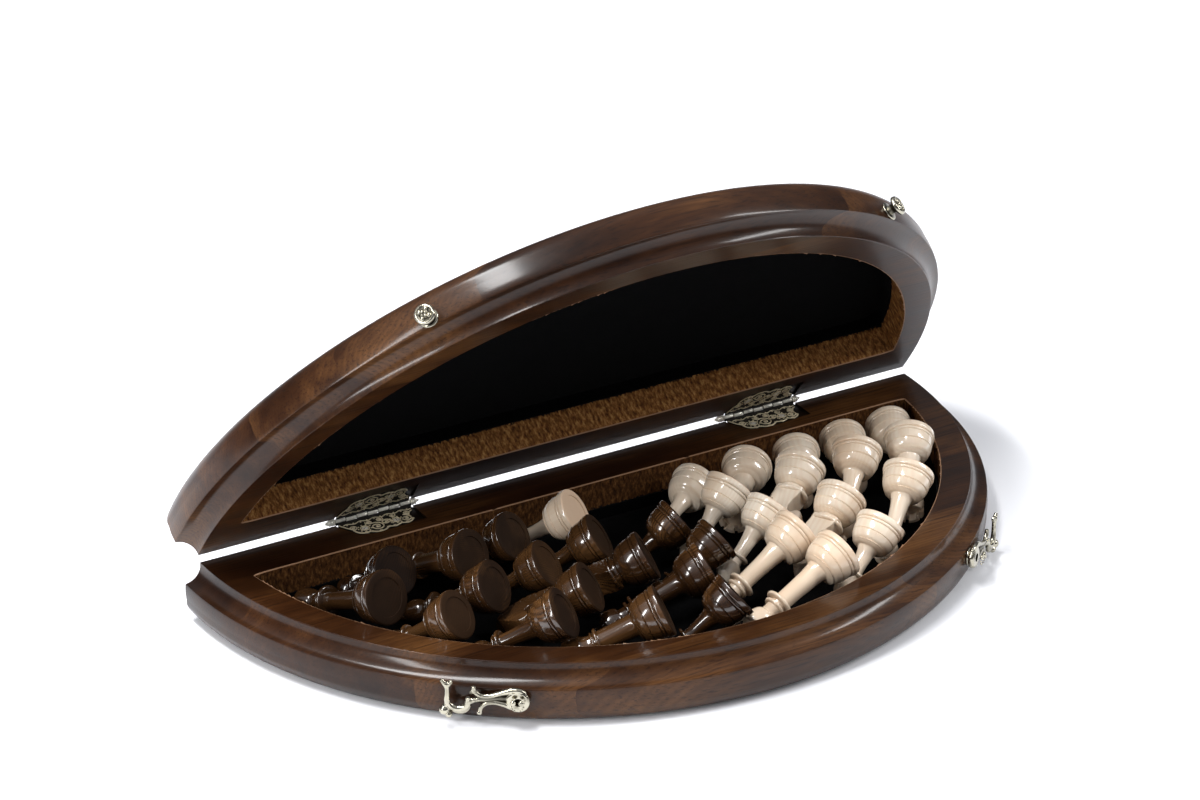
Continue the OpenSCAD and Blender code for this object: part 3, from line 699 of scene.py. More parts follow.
# %% Finishes of the flock and the veneers
def flock_hair():
    material, tree, shader = finish_material("black_flock", Roughness=1.0, Specular_IOR_Level=0.0,
                                             Sheen_Weight=0.015, Sheen_Roughness=0.5)
    where = object_place(tree)
    hairs = add(tree, "TexNoise", {"Vector": where, "Scale": 1600.0, "Detail": 3.0, "Roughness": 0.7})
    drifts = add(tree, "TexNoise", {"Vector": where, "Scale": 60.0, "Detail": 3.0})
    shade = mix(tree, ramp(tree, hairs.outputs[0], (0.45, 0.0), (0.75, 1.0)), (0.0007, 0.0007, 0.0008),
                (0.0045, 0.0045, 0.005))
    shade = mix(tree, ramp(tree, drifts.outputs[0], (0.4, 0.0), (0.7, 0.5)), shade, (0.0022, 0.0022, 0.0024))
    tree.links.new(shade, shader.inputs["Base Color"])
    roughen(tree, shader, 0.7, 0.2, hairs.outputs[0])
    return material


def veneer(name, on_the_lid, deep, middle, bright):
    material, tree, shader = finish_material(name, Roughness=0.32, Coat_Weight=0.5, Coat_Roughness=0.1,
                                             Specular_IOR_Level=0.3)
    vector = case_coordinates(tree, on_the_lid)
    apart = add(tree, "SeparateXYZ", {0: vector})
    from_edge = math_node(tree, "SUBTRACT", apart.outputs[1], BACK_Y - BOARD_EDGE * MM)
    column = math_node(tree, "FLOOR", math_node(tree, "DIVIDE", apart.outputs[0], SQUARE * MM))
    row = math_node(tree, "FLOOR", math_node(tree, "DIVIDE", from_edge, SQUARE * MM))
    cell = add(tree, "CombineXYZ", {0: column, 1: row, 2: 0.0})
    tone = add(tree, "TexWhiteNoise", {"Vector": cell.outputs[0]}, noise_dimensions="2D").outputs[0]
    offset = times(tree, tone, 4.0)
    cut_at = add(tree, "CombineXYZ", {0: offset, 1: offset, 2: offset})
    moved = add(tree, "VectorMath", {0: vector, 1: cut_at.outputs[0]}, operation="ADD")
    grain = grain_nodes(tree, moved.outputs[0], 3.0)
    pored = figured(tree, grain, (deep, middle, bright), 0.4, 0.4, deep)
    toned = mix(tree, times(tree, tone, 0.35), pored, bright)
    tree.links.new(toned, shader.inputs["Base Color"])
    roughen(tree, shader, 0.15, 0.08, grain["Pores"])
    return material


LIGHT_VENEER = (0.42, 0.26, 0.12), (0.58, 0.40, 0.21), (0.70, 0.53, 0.32)
DARK_VENEER = (0.018, 0.007, 0.003), (0.050, 0.020, 0.008), (0.105, 0.046, 0.018)
flock = flock_hair()
for half, on_the_lid in (("base", False), ("lid", True)):
    wear_material(nodes[f"{half}_flock"], flock)
    for side, tones in (("light", LIGHT_VENEER), ("dark", DARK_VENEER)):
        wear_material(nodes[f"{half}_{side}_squares"], veneer(f"{half}_{side}_veneer", on_the_lid, *tones))
print("Flock and veneers dressed")

# %% [markdown]
# ## The men
# Every man is turned on a lathe: a moulded foot of two rings, a full round bell, a hollow neck,
# thin collars and a head. All of them share the foot and bell, so one function gives that part
# of the outline and each kind adds its own head. A few cuts make the rook's crenels, the
# bishop's slit and the points of the queen's crown.

# %% Measures of the men: height and radius of the base in millimetres
MEN = {"pawn": (45.0, 12.2), "rook": (50.0, 12.8), "knight": (52.0, 12.8),
       "bishop": (57.0, 12.8), "queen": (63.0, 13.2), "king": (68.0, 13.2)}
HEAD = {"pawn": (5.9, 5.9), "rook": (7.6, 1.6), "knight": (6.4, 6.3),
        "bishop": (6.0, 9.0), "queen": (6.8, 8.5), "king": (7.2, 10.0)}
FOOT_TOP = 3.2
BELL_LOW = 5.2
BELL_TOP = 15.4


def foot(base, neck_z, neck):
    """From the middle of the underside over two rings and the bell to the top of the neck."""
    waist = base * 0.46
    bell = bow(waist, BELL_TOP, waist, BELL_LOW - BELL_TOP, 90, 0, 14)
    for i in (9, 4):
        reach, z = bell[i]
        bell[i:i + 1] = [(reach + 0.1, z - 0.4), (reach - 0.55, z), (reach - 0.1, z + 0.4)]
    neck_line = bow(waist, BELL_TOP, neck - waist, neck_z - BELL_TOP, 9, 90, 9)
    rings = ([(0, 0.4), (base * 0.7, 0.4), (base * 0.71, 0)] + arc(base - 0.9, 0.9, 0.9, -90, 0, 5)
             + arc(base - 0.9, FOOT_TOP - 0.9, 0.9, 0, 90, 5) + [(base - 1.3, FOOT_TOP + 0.1)]
             + arc(base - 1.3, FOOT_TOP + 0.95, 0.75, -90, 90, 6) + [(base * 0.88, 5.1)])
    return rings + bell + neck_line


def collar(z, radius, thick, root):
    """A thin disc with a round edge, on a stem of radius root."""
    return [(root, z)] + arc(radius - thick / 2, z + thick / 2, thick / 2, -90, 90, 6) + [(root, z + thick)]


def pawn():
    height, base = MEN["pawn"]
    top = height - 16
    return foot(base, top, 3.4) + collar(top + 1, 5.8, 1.6, 3.5) + arc(0, height - 5.9, 5.9, -52, 90, 16)


def rook():
    height, base = MEN["rook"]
    top = height - 18
    return (foot(base, top, 5.2) + collar(top + 1, 7, 1.8, 5.2) + collar(top + 3.4, 6, 1.2, 5.1)
            + [(5.2, top + 6), (5.6, top + 7.6), (6.6, top + 9), (7.4, top + 9.8), (7.6, top + 10.8)]
            + [(7.6, height - 0.4), (7.2, height), (5.6, height), (5.2, height - 0.4), (4.8, height - 3.5)]
            + [(0, height - 3.5)])


def bishop():
    height, base = MEN["bishop"]
    top = height - 24
    ogive = bow(0.9, top + 7, 5.1, 6.7, 20, 170, 20)
    return (foot(base, top, 3.8) + collar(top + 1, 6.6, 1.6, 3.9) + collar(top + 3.6, 5.4, 1.4, 3.7)
            + [(3.4, top + 6)] + ogive + arc(0, height - 1.9, 1.9, -50, 90, 10))


def queen():
    height, base = MEN["queen"]
    top = height - 25
    cup = bow(4, top + 9, 2.8, 8, 0, 90, 8)
    return (foot(base, top, 4.2) + collar(top + 1, 7.2, 1.8, 4.3) + collar(top + 4, 5.8, 1.6, 4.1)
            + [(3.9, top + 7)] + cup + [(6.5, height - 7.4), (5.6, height - 7.6), (5.2, height - 8)]
            + arc(0, height - 8.6, 4.8, 10, 62, 8) + arc(0, height - 2.3, 2.3, -50, 90, 10))


def king():
    height, base = MEN["king"]
    top = height - 29
    cup = bow(4.2, top + 10, 3, 9, 0, 90, 8)
    return (foot(base, top, 4.4) + collar(top + 1, 7.8, 1.8, 4.5) + collar(top + 4, 6.2, 1.8, 4.3)
            + [(4.1, top + 8)] + cup + [(7.0, height - 9.6), (6.4, height - 9.2), (5.6, height - 9.0)]
            + arc(0, height - 11, 6, 20, 66, 8) + arc(0, height - 4.4, 1.7, -50, 50, 8)
            + [(0.9, height - 2.6), (1.3, height - 1.2), (0.8, height - 0.2), (0, height)])


print("Outline of a bishop:", len(bishop()), "points")

# %% Turn one man of each kind, standing at the origin
def crenels(man, count, width, deep, reach, height):
    for i in range(count):
        block = box("crenel", (-reach, -width / 2, height - deep), (reach, width / 2, height + 2))
        place(block, Matrix.Rotation(math.pi * i / count, 4, "Z"))
        cut(man, block)


def scallops(man, count, radius, ring, height):
    for i in range(count):
        turn = math.tau * i / count
        bpy.ops.mesh.primitive_uv_sphere_add(segments=20, ring_count=12, radius=radius * MM,
                                             location=(ring * MM * math.cos(turn), ring * MM * math.sin(turn),
                                                       height * MM))
        cut(man, bpy.context.object)


def turned_man(kind, outline):
    man = lathe(kind, outline, steps=56)
    height = MEN[kind][0]
    if kind == "rook":
        crenels(man, 3, 1.8, 2.4, 12, height)
    if kind == "bishop":
        slit = box("slit", (0.4, -8, -0.45), (9, 8, 0.45))
        place(slit, shifted(0, 0, height - 7.5) @ turned(-40, "Y"))
        cut(man, slit)
    if kind == "queen":
        scallops(man, 8, 1.6, 7.4, height - 7.3)
    return man


patterns = {"pawn": turned_man("pawn", pawn()), "rook": turned_man("rook", rook()),
            "bishop": turned_man("bishop", bishop()), "queen": turned_man("queen", queen()),
            "king": turned_man("king", king())}
print({kind: triangles(man) for kind, man in patterns.items()})

# %% [markdown]
# The knight is the one man that is carved. Its head is sawn from a slab to the horse's outline,
# drawn in by its neck and cheeks, and the mane is cut as slanting grooves that run round the
# neck like the strands of a rope. A fine remesh melts the cuts into one carved, sanded surface.

# %% Carve the knight
KNIGHT_COLLAR = 17.0
HEAD_HALF = 6.4


def slab(name, points, thick):
    """A flat plate: an outline in Y and Z in mm, given a thickness along X."""
    piece = plate(name, points, -thick / 2, thick / 2)
    place(piece, Matrix(((0, 0, 1, 0), (1, 0, 0, 0), (0, 1, 0, 0), (0, 0, 0, 1))))
    return piece


def horse(top):
    """The side outline of the head and neck, with its nose towards Y."""
    return [(-7, -2), (-8.6, 0.1 * top), (-9.8, 0.24 * top), (-10.3, 0.42 * top), (-9.6, 0.56 * top),
            (-7.8, 0.7 * top), (-5.4, 0.82 * top), (-3.4, 0.89 * top), (-2.6, 0.985 * top),
            (-1.6, 0.99 * top), (0.2, 0.88 * top), (2.2, 0.84 * top), (4.2, 0.77 * top), (6.6, 0.68 * top),
            (9.0, 0.56 * top), (10.2, 0.48 * top), (10.3, 0.41 * top), (8.6, 0.35 * top),
            (6.6, 0.36 * top), (4.6, 0.41 * top), (2.6, 0.38 * top), (2.3, 0.3 * top), (3.4, 0.2 * top),
            (5.2, 0.1 * top), (7, -2)]


def carved_knight():
    height, base = MEN["knight"]
    top = height - KNIGHT_COLLAR - 2
    head = slab("knight_head", horse(top), 2 * HEAD_HALF)
    blank = lathe("blank", [(0, -3), (8.6, -3), (8.8, 1), (9.6, 0.15 * top), (10.8, 0.35 * top),
                            (10.9, 0.5 * top), (9.6, 0.7 * top), (6.6, 0.86 * top), (3.4, 0.96 * top),
                            (0, top)], steps=40)
    cut(head, blank, "INTERSECT")
    for side in (-1, 1):
        cheek = box("cheek", (-6, -9, -2), (6, 9, top + 2))
        turn = turned(side * 15, "Z")
        place(cheek, Matrix.Translation((side * (HEAD_HALF + 5.0) * MM, 10 * MM, 0)) @ turn)
        cut(head, cheek)
    for i in range(7):
        for side in (-1, 1):
            bpy.ops.mesh.primitive_torus_add(major_radius=7.5 * MM, minor_radius=0.75 * MM,
                                             major_segments=36, minor_segments=10)
            groove = bpy.context.object
            lean = turned(90 + side * 8, "Y") @ Matrix.Rotation(0.5, 4, "X")
            spot = (side * HEAD_HALF * MM, (-9.5 + 0.35 * i) * MM, (0.02 + 0.125 * i) * top * MM)
            bpy.ops.object.transform_apply(location=True, rotation=True, scale=True)
            place(groove, Matrix.Translation(spot) @ lean)
            cut(head, groove)
    apply_modifier(head, "REMESH", mode="VOXEL", voxel_size=0.32 * MM)
    apply_modifier(head, "SMOOTH", factor=0.6, iterations=4)
    place(head, Matrix.Translation((0, 0, (KNIGHT_COLLAR + 2) * MM)))
    body = lathe("knight", foot(base, KNIGHT_COLLAR, 7) + collar(KNIGHT_COLLAR + 1, 8.6, 1.8, 7)
                 + [(0, KNIGHT_COLLAR + 2.8)], steps=56)
    return join([body, head], "knight")


patterns["knight"] = carved_knight()
print("Knight:", triangles(patterns["knight"]), "triangles")

# %% [markdown]
# The lacquered men show two woods. The dark side is stained so that its straight grain still
# glows through, and the light side is a creamy boxwood that varies from bone to pink peach.
# Each man was turned from its own stick, so its pattern follows its own axis: the upright
# coordinates of every man are stored on its mesh before it is laid down.

# %% Woods of the men
def man_wood(name, deep, middle, bright, overlay, ring, band_share, roughness, coat):
    material, tree, shader = finish_material(name, Coat_Roughness=0.04)
    own = add(tree, "Attribute", attribute_name="stick").outputs["Vector"]
    turned = add(tree, "Mapping", {"Vector": own, "Rotation": (0, math.radians(90), 0)}).outputs[0]
    grain = grain_nodes(tree, turned, ring)
    pored = figured(tree, grain, (deep, middle, bright), band_share, band_share * 0.8, overlay)
    pick_tone = add(tree, "Attribute", attribute_name="tone").outputs["Fac"]
    toned = mix(tree, times(tree, pick_tone, 0.3), pored, bright)
    under = add(tree, "Attribute", attribute_name="under").outputs["Fac"]
    dusky = mix(tree, times(tree, under, 0.65), toned, overlay)
    tree.links.new(dusky, shader.inputs["Base Color"])
    tree.links.new(ramp(tree, under, (0.0, coat), (0.5, 0.0)), shader.inputs["Coat Weight"])
    tree.links.new(ramp(tree, under, (0.0, roughness), (0.5, 0.7)), shader.inputs["Roughness"])
    tree.links.new(ramp(tree, under, (0.0, 0.5), (0.5, 0.1)), shader.inputs["Specular IOR Level"])
    roughen(tree, shader, 0.12, 0.08, grain["Pores"])
    return material


dark_wood = man_wood("dark_men_wood", (0.008, 0.003, 0.0011), (0.034, 0.0135, 0.0045), (0.19, 0.088, 0.030),
                     (0.004, 0.0016, 0.0008), 1.3, 0.6, 0.2, 1.0)
light_wood = man_wood("light_men_wood", (0.70, 0.52, 0.36), (0.83, 0.69, 0.53), (0.90, 0.81, 0.68),
                      (0.72, 0.50, 0.34), 2.4, 0.25, 0.22, 0.9)
print("Woods of the men:", dark_wood.name, light_wood.name)

# %% [markdown]
# The men lie in rings round the tray, from its curved wall inwards, like tiles on a roof: the
# first man of a ring lies flat, and each next one leans with its base on the head before it.
# The free room of a ring is shared out evenly. The rule below is the one that the frame was
# laid out by, so every turned man falls on the solid that it stands for.

# %% Where the men lie
MEN_LAP = 9.0
LAP_GAP = 3.2
FLOCK_T = 0.8
REST_GAP = 0.3
WALL_MM = RIM_R - RIM_W
RING_PITCH = 2 * MEN["king"][1] + 2 * REST_GAP
RAIL_ROOM = RAIL_W + FLOCK_T + 2 * REST_GAP
OUTER_RING = "pawn 1", "rook 1", "bishop 1", "pawn 2", "king 1"
RING_ROWS = [
    [("light", OUTER_RING), ("dark", OUTER_RING)],
    [("light", ("pawn 3", "bishop 2", "knight 1", "queen 1")),
     ("dark", ("queen 1", "knight 1", "bishop 2", "pawn 3"))],
    [("light", ("pawn 4", "knight 2", "pawn 5")), ("dark", ("pawn 4", "knight 2", "pawn 5", "rook 2"))],
    [("light", ("rook 2", "pawn 6")), ("dark", ("pawn 6", "pawn 7", "pawn 8"))],
    [("light", ("pawn 7", "pawn 8"))],
]
RINGS = [[(side, *man.split()) for side, men in row for man in men] for row in RING_ROWS]


def leaning(kind, before):
    """The lean that puts a man's head on the flock and its base on the head of the man before it."""
    height, base = MEN[kind]
    head, down = HEAD[kind]
    lift = 2 * HEAD[before][0] + LAP_GAP if before else 0.0
    along = height - down - FOOT_TOP
    return math.atan2(base, along) + math.asin((lift - head) / math.hypot(along, base))


def clear_angle(radius, along):
    """The turn at which a point of a man, along it from its middle, just clears the rail."""
    return math.asin(RAIL_ROOM / math.hypot(radius, along)) + math.atan2(along, radius)


def ring_places(ring, row):
    """For each man of a ring: its radius, half its length in plan, its lean and its turn."""
    outer = WALL_MM - 2 * REST_GAP - FLOCK_T - ring * RING_PITCH
    spots, before = [], None
    for side, kind, number in row:
        height, base = MEN[kind]
        lean = leaning(kind, before)
        half = height * math.cos(lean) / 2
        spots.append((kind, math.sqrt(outer ** 2 - half ** 2) - base, half, lean))
        before = kind
    steps = []
    for (_, radius, half, _), (kind, next_radius, next_half, lean) in zip(spots, spots[1:]):
        reach = next_half + MEN[kind][1] * math.sin(lean)
        lap = 2 * MEN_LAP / (radius + next_radius)
        steps.append(math.atan2(half, radius) + math.atan2(reach, next_radius) - lap)
    kind, radius, half, lean = spots[0]
    base = MEN[kind][1]
    turn = clear_angle(radius - base, half + base * math.sin(lean))
    kind, radius, half, lean = spots[-1]
    head = HEAD[kind][0]
    end = math.pi - clear_angle(radius - head, half + head * math.sin(lean))
    free = (end - turn - sum(steps)) / len(steps)
    places = []
    for spot, step in zip(spots, steps + [0.0]):
        places.append(spot + (turn,))
        turn += step + free
    return places


def lying(kind, radius, half, lean, turn):
    """The matrix that lays an upright man down at its place in a ring."""
    head, down = HEAD[kind]
    rise = head + (MEN[kind][0] - down) * math.sin(lean)
    spot = Vector((radius, half, FLOOR_MM + FLOCK_T + REST_GAP + rise)) * MM
    return (on_base @ Matrix.Rotation(-turn, 4, "Z") @ Matrix.Translation(spot)
            @ turned(-90, "Z") @ Matrix.Rotation(math.pi / 2 + lean, 4, "Y"))


print("Rings:", [len(ring_places(ring, row)) for ring, row in enumerate(RINGS)])

# %% Lay the men in the tray
def mark_stick(man, seed, tone):
    """Stores the upright coordinates in a fresh piece of wood, a tone, and what is underside."""
    shift = Vector((0.13, 0.29, 0.07)) * seed
    upright = [value for vertex in man.data.vertices for value in vertex.co + shift]
    store(man, "stick", upright, "FLOAT_VECTOR")
    store(man, "tone", [tone] * len(man.data.vertices))
    store(man, "under", [float(vertex.co.z < 0.45 * MM) for vertex in man.data.vertices])


dice = random.Random(7)
laid = {}
for ring, row in enumerate(RINGS):
    for (side, kind, number), place_of_man in zip(row, ring_places(ring, row)):
        node = f"{side}_{kind}" if kind in ("king", "queen") else f"{side}_{kind}_{number}"
        man = copy_of(patterns[kind], node + "_turned")
        spin = Matrix.Identity(4) if kind == "knight" else Matrix.Rotation(dice.uniform(0, math.tau), 4, "Z")
        mark_stick(man, len(laid) + 1, dice.random())
        place(man, lying(*place_of_man) @ spin)
        wear_material(man, dark_wood if side == "dark" else light_wood)
        smooth(man, 32)
        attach(man, "tray")
        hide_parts(node)
        laid[node] = man
for man in patterns.values():
    bpy.data.objects.remove(man)
print("Men laid:", len(laid), "with", sum(triangles(man) for man in laid.values()), "triangles")

# %% [markdown]
# ## The hinges
# Each leaf is a thin casting let into the rail. Its ground lies low and has gone dark, and the
# scrolls, the beaded vine and the rounded border stand up to the level of the wood, where they
# are rubbed bright. The mask for that comes from the height of each vertex above the ground.
# The same mask paints the barrels near white, partly polish and partly a painted highlight, and
# gives painted shade to the strip and tongues under the barrels and to the barrels' inner ends.

# %% Measures of the hinges
BARREL_R = 1.25
KNUCKLES = 7
PITCH = BARREL_LEN / KNUCKLES
PIN_BACK = (PIN.y - BACK_Y) / MM
AXIS_Z = PIN.z / MM - BODY_MM
SWING_GAP = 0.1
GROUND = -0.62
PROUD = 0.06
LOBES = [(9.6, -9.0, 5.0), (16.5, -10.0, 6.0), (24.6, -9.4, 5.2), (31.5, -10.0, 4.4)]
HINGE_SCREWS = [(10.5, -9.0), (27.5, -9.0)]
HEAD_R = 1.6
# Marks painted shade: on the strip and tongues under the barrels, and on the barrels' inner ends.
IN_PAINTED_SHADE = -1.0
MOST_WORN = 0.8


def leaf_ground():
    """The low plate of a leaf, with its lobes, its hollow end and the two straight holes for the screws."""
    leaf = plate("leaf", [(0.3, 0), (2.2, -4.5), (6, -11.5), (10, -10), (31, -10), (39.5, -2.5), (40.3, 0)],
                 -LEAF_T, GROUND)
    for x, y, radius in LOBES:
        cut(leaf, rod(x, y, radius, -LEAF_T, GROUND, 40), "UNION")
    cut(leaf, rod(40.2, -8.6, 4.9, -2, 1, 40))
    for x, y in HINGE_SCREWS:
        cut(leaf, rod(x, y, HEAD_R, -2, 1))
    return leaf


def level_wire(name, points, radius, closed=False):
    """A wire lying on the leaf, with its top just proud of the rail."""
    return wire(name, [(x, y, PROUD - radius) for x, y in points], [radius] * len(points), closed)


def spiral(x, y, outer, inner, start, turns, steps=30):
    """A scroll that winds inwards from one radius to another."""
    points = []
    for i in range(steps + 1):
        share = i / steps
        turn = math.radians(start) + share * turns * math.tau
        radius = outer + (inner - outer) * share ** 0.8
        points.append((x + radius * math.cos(turn), y + radius * math.sin(turn)))
    return points


SCROLLS = [(16.6, -10.2, 4.3, 0.9, 120, -1.7), (22.4, -8.2, 3.0, 0.7, 300, 1.5),
           (32.4, -9.9, 2.9, 0.7, 60, -1.5), (5.4, -6.2, 2.3, 0.6, 250, 1.4),
           (20.4, -4.2, 1.9, 0.6, 20, -1.3), (34.6, -5.0, 2.2, 0.6, 200, 1.4),
           (14.6, -4.6, 1.8, 0.6, 160, 1.3), (27.4, -4.0, 1.7, 0.5, 10, -1.2)]
EDGES = [(LOBES[0], 178, 292), (LOBES[1], 222, 322), (LOBES[2], 236, 304), (LOBES[3], 226, 338)]


def ornament():
    """The raised work of a leaf: border, scrolls, rosettes, vine and beads."""
    parts = [level_wire("side", [(0.9, -0.6), (2.7, -4.6), (5.4, -8.8)], 0.42)]
    for (x, y, radius), first, last in EDGES:
        rim = arc(x, y, radius - 0.35, first, last, 14)
        parts.append(level_wire("edge", rim, 0.5))
        parts.append(ball(*rim[0], PROUD - 0.5, 0.75, 0.75, 12))
        parts.append(ball(*rim[-1], PROUD - 0.5, 0.75, 0.75, 12))
        parts.append(ball(x, y - radius + 0.7, PROUD - 0.6, 1.25, 0.5, 16))
    parts.append(level_wire("bay", arc(40.2, -8.6, 5.3, 196, 112, 14), 0.42))
    for scroll in SCROLLS:
        parts.append(level_wire("scroll", spiral(*scroll), 0.36))
        parts.append(ball(scroll[0], scroll[1], PROUD - 0.45, 0.75, 0.65, 12))
    for x, y in HINGE_SCREWS:
        parts.append(level_wire("rosette", arc(x, y, HEAD_R + 0.55, 0, 340, 18), 0.34, closed=True))
        parts += [ball(bead_x, bead_y, PROUD - 0.4, 0.5, 0.8, 8)
                  for bead_x, bead_y in arc(x, y, HEAD_R + 1.7, 20, 335, 8)]
    vine = [(2.4 + 36.2 * i / 60, -1.9 + 0.7 * math.sin(math.tau * 5 * i / 60)) for i in range(61)]
    parts.append(level_wire("vine", vine, 0.3))
    parts += [ball(x, y + (1.0 if i % 2 else -1.0), PROUD - 0.4, 0.5, 0.8, 8)
              for i, (x, y) in enumerate(vine[3::6])]
    return join(parts, "ornament")


def knuckles(phase):
    """The barrels of one leaf, each with the tongue that ties it to the plate."""
    parts = []
    for i in range(phase, KNUCKLES, 2):
        long = PITCH - 2 * SWING_GAP
        outline = [(0.72, 0.25), (0.8, 0.25), (BARREL_R - 0.1, 0.35), (BARREL_R, 0.5), (BARREL_R, long - 0.5),
                   (BARREL_R - 0.1, long - 0.35), (0.8, long - 0.25), (0.72, long - 0.25), (0.72, 0.25)]
        knuckle = lathe("knuckle", outline, steps=36)
        # The barrel's outside is marked brightest, polish with a painted highlight; its inner ends get
        # painted shade.
        store(knuckle, "wear_and_painted_light", [1.0 if vertex.co.xy.length > 0.9 * MM else IN_PAINTED_SHADE
                                for vertex in knuckle.data.vertices])
        start = i * PITCH + SWING_GAP
        place(knuckle, shifted(start, PIN_BACK, AXIS_Z) @ turned(90, "Y"))
        # The tongue, and the strip below, get painted shade.
        tongue = box("tongue", (start, 1.5, -LEAF_T), (start + long, PIN_BACK - 0.95, -0.02))
        store(tongue, "wear_and_painted_light", [IN_PAINTED_SHADE] * len(tongue.data.vertices))
        parts += [knuckle, tongue]
    strip = box("strip", (1, -0.6, -LEAF_T), (BARREL_LEN - 1, 2.0, -0.2))
    store(strip, "wear_and_painted_light", [IN_PAINTED_SHADE] * len(strip.data.vertices))
    return join(parts + [strip], "knuckles")


def hinge_leaf(phase):
    leaf = join([leaf_ground(), ornament(), knuckles(phase)], f"leaf_{phase}")
    rub_and_shade(leaf, lambda z: (z - GROUND) / (PROUD - GROUND))
    return leaf


def rub_and_shade(piece, height_share, steep=0.0):
    """Adds a mask that grows with height, and with how steep a face is, to what is marked: wear and patina,
    painted shade where marked for it, and partly painted shade in the latches' recesses.
    """
    vertices = piece.data.vertices
    marked = piece.data.attributes.get("wear_and_painted_light")
    before = [item.value for item in marked.data] if marked else [0.0] * len(vertices)
    shares = [MOST_WORN * (height_share(vertex.co.z / MM) + steep * (1 - abs(vertex.normal.z)))
              for vertex in vertices]
    store(piece, "wear_and_painted_light", [0.0 if value == IN_PAINTED_SHADE else max(value, min(MOST_WORN, share))
                          for value, share in zip(before, shares)])


leaves = [hinge_leaf(phase) for phase in range(2)]
print("Leaves:", [triangles(leaf) for leaf in leaves], "triangles")

# %% Antique brass of the hinges and the brighter brass of the latches
def brass_metal(name, raised, polished_highlight, dull, rough, metallic):
    """Brass with tarnished spots, dark where its mask is low and brightest where it is highest: patina in the
    hinges' ground, painted shade where marked, partly painted shade in the latches' recesses, and near white
    on the barrels and finials, polish with a painted highlight.
    """
    material, tree, shader = finish_material(name, Metallic=metallic)
    spots = add(tree, "TexNoise", {"Vector": object_place(tree), "Scale": 230.0, "Detail": 3.0,
                                   "Roughness": 0.55})
    # This mask holds wear and patina, painted shade where marked, and a painted highlight on the barrels and
    # finials.
    wear = add(tree, "Attribute", attribute_name="wear_and_painted_light").outputs["Fac"]
    bright = mix(tree, ramp(tree, wear, (0.82, 0.0), (0.95, 1.0)), raised, polished_highlight)
    tarnish_and_shade = math_node(tree, "MAXIMUM", ramp(tree, wear, (0.25, 1.0), (0.72, 0.0)),
                        ramp(tree, spots.outputs[0], (0.46, 0.0), (0.72, 0.6)))
    tree.links.new(mix(tree, tarnish_and_shade, bright, dull), shader.inputs["Base Color"])
    tree.links.new(ramp(tree, tarnish_and_shade, (0.0, rough), (1.0, 0.6)), shader.inputs["Roughness"])
    roughen(tree, shader, 0.25, 0.05, spots.outputs[0])
    return material


# The hinge brass's brightest colour, near white, is polish with a painted highlight.
hinge_brass = brass_metal("antique_brass", (0.86, 0.74, 0.50), (1.0, 0.97, 0.86), (0.008, 0.006, 0.003),
                          0.22, 0.25)
# The pin's brass is near white: partly polish, partly a painted highlight.
pin_brass = brass_metal("pin_brass", (1.0, 0.95, 0.82), (1.0, 0.97, 0.86), (0.012, 0.009, 0.005), 0.22, 0.3)
latch_brass = brass_metal("latch_brass", (0.48, 0.45, 0.36), (0.50, 0.47, 0.38), (0.014, 0.011, 0.007),
                          0.13, 1.0)
print("Brasses:", hinge_brass.name, pin_brass.name, latch_brass.name)

# %% Set the hinges
def set_piece(piece, matrix, material, angle, body, node):
    """Puts a finished piece in its place, dresses it, hangs it on its body and hides the frame's part that it
    stands for.
    """
    place(piece, matrix)
    wear_material(piece, material)
    smooth(piece, angle)
    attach(piece, body)
    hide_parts(node)


def pin():
    """A pin from the barrel's left end, with a collar, a bead and a pointed finial at each end."""
    finial = ([(0, 0), (0.35, 0.12), (0.6, 0.6), (1.0, 1.5), (1.15, 1.75)]
              + arc(1.05, 2.45, 0.6, -60, 60, 6) + [(0.85, 3.15)] + arc(1.1, 3.75, 0.7, -60, 60, 6)
              + [(1.15, 4.55), (1.75, 4.7), (1.8, 4.9), (0.65, 4.9)])
    near_end = [(radius, height - 5) for radius, height in finial]
    far_end = [(radius, BARREL_LEN - height) for radius, height in reversed(near_end)]
    return lathe("pin", near_end + far_end, steps=32)


def slotted_screws():
    heads = []
    for x in HINGES.values():
        for screw_x, screw_y in HINGE_SCREWS:
            outline = [(0, -3), (0.8, -3), (0.8, -0.95), (1.56, -0.3), (1.56, -0.16), (1.3, -0.06),
                       (0.7, 0.03), (0, 0.05)]
            head = lathe("screw", outline, steps=28)
            slot = box("slot", (-2, -0.2, -0.35), (2, 0.2, 1))
            place(slot, Matrix.Rotation(0.7 * (len(heads) + 1), 4, "Z"))
            cut(head, slot)
            place(head, shifted(x - BARREL_LEN / 2 + screw_x, screw_y, 0))
            heads.append(head)
    return join(heads, "hinge_screws")


screws = slotted_screws()
rub_and_shade(screws, lambda z: (z + 0.4) / 0.35)
outlined_pin = pin()
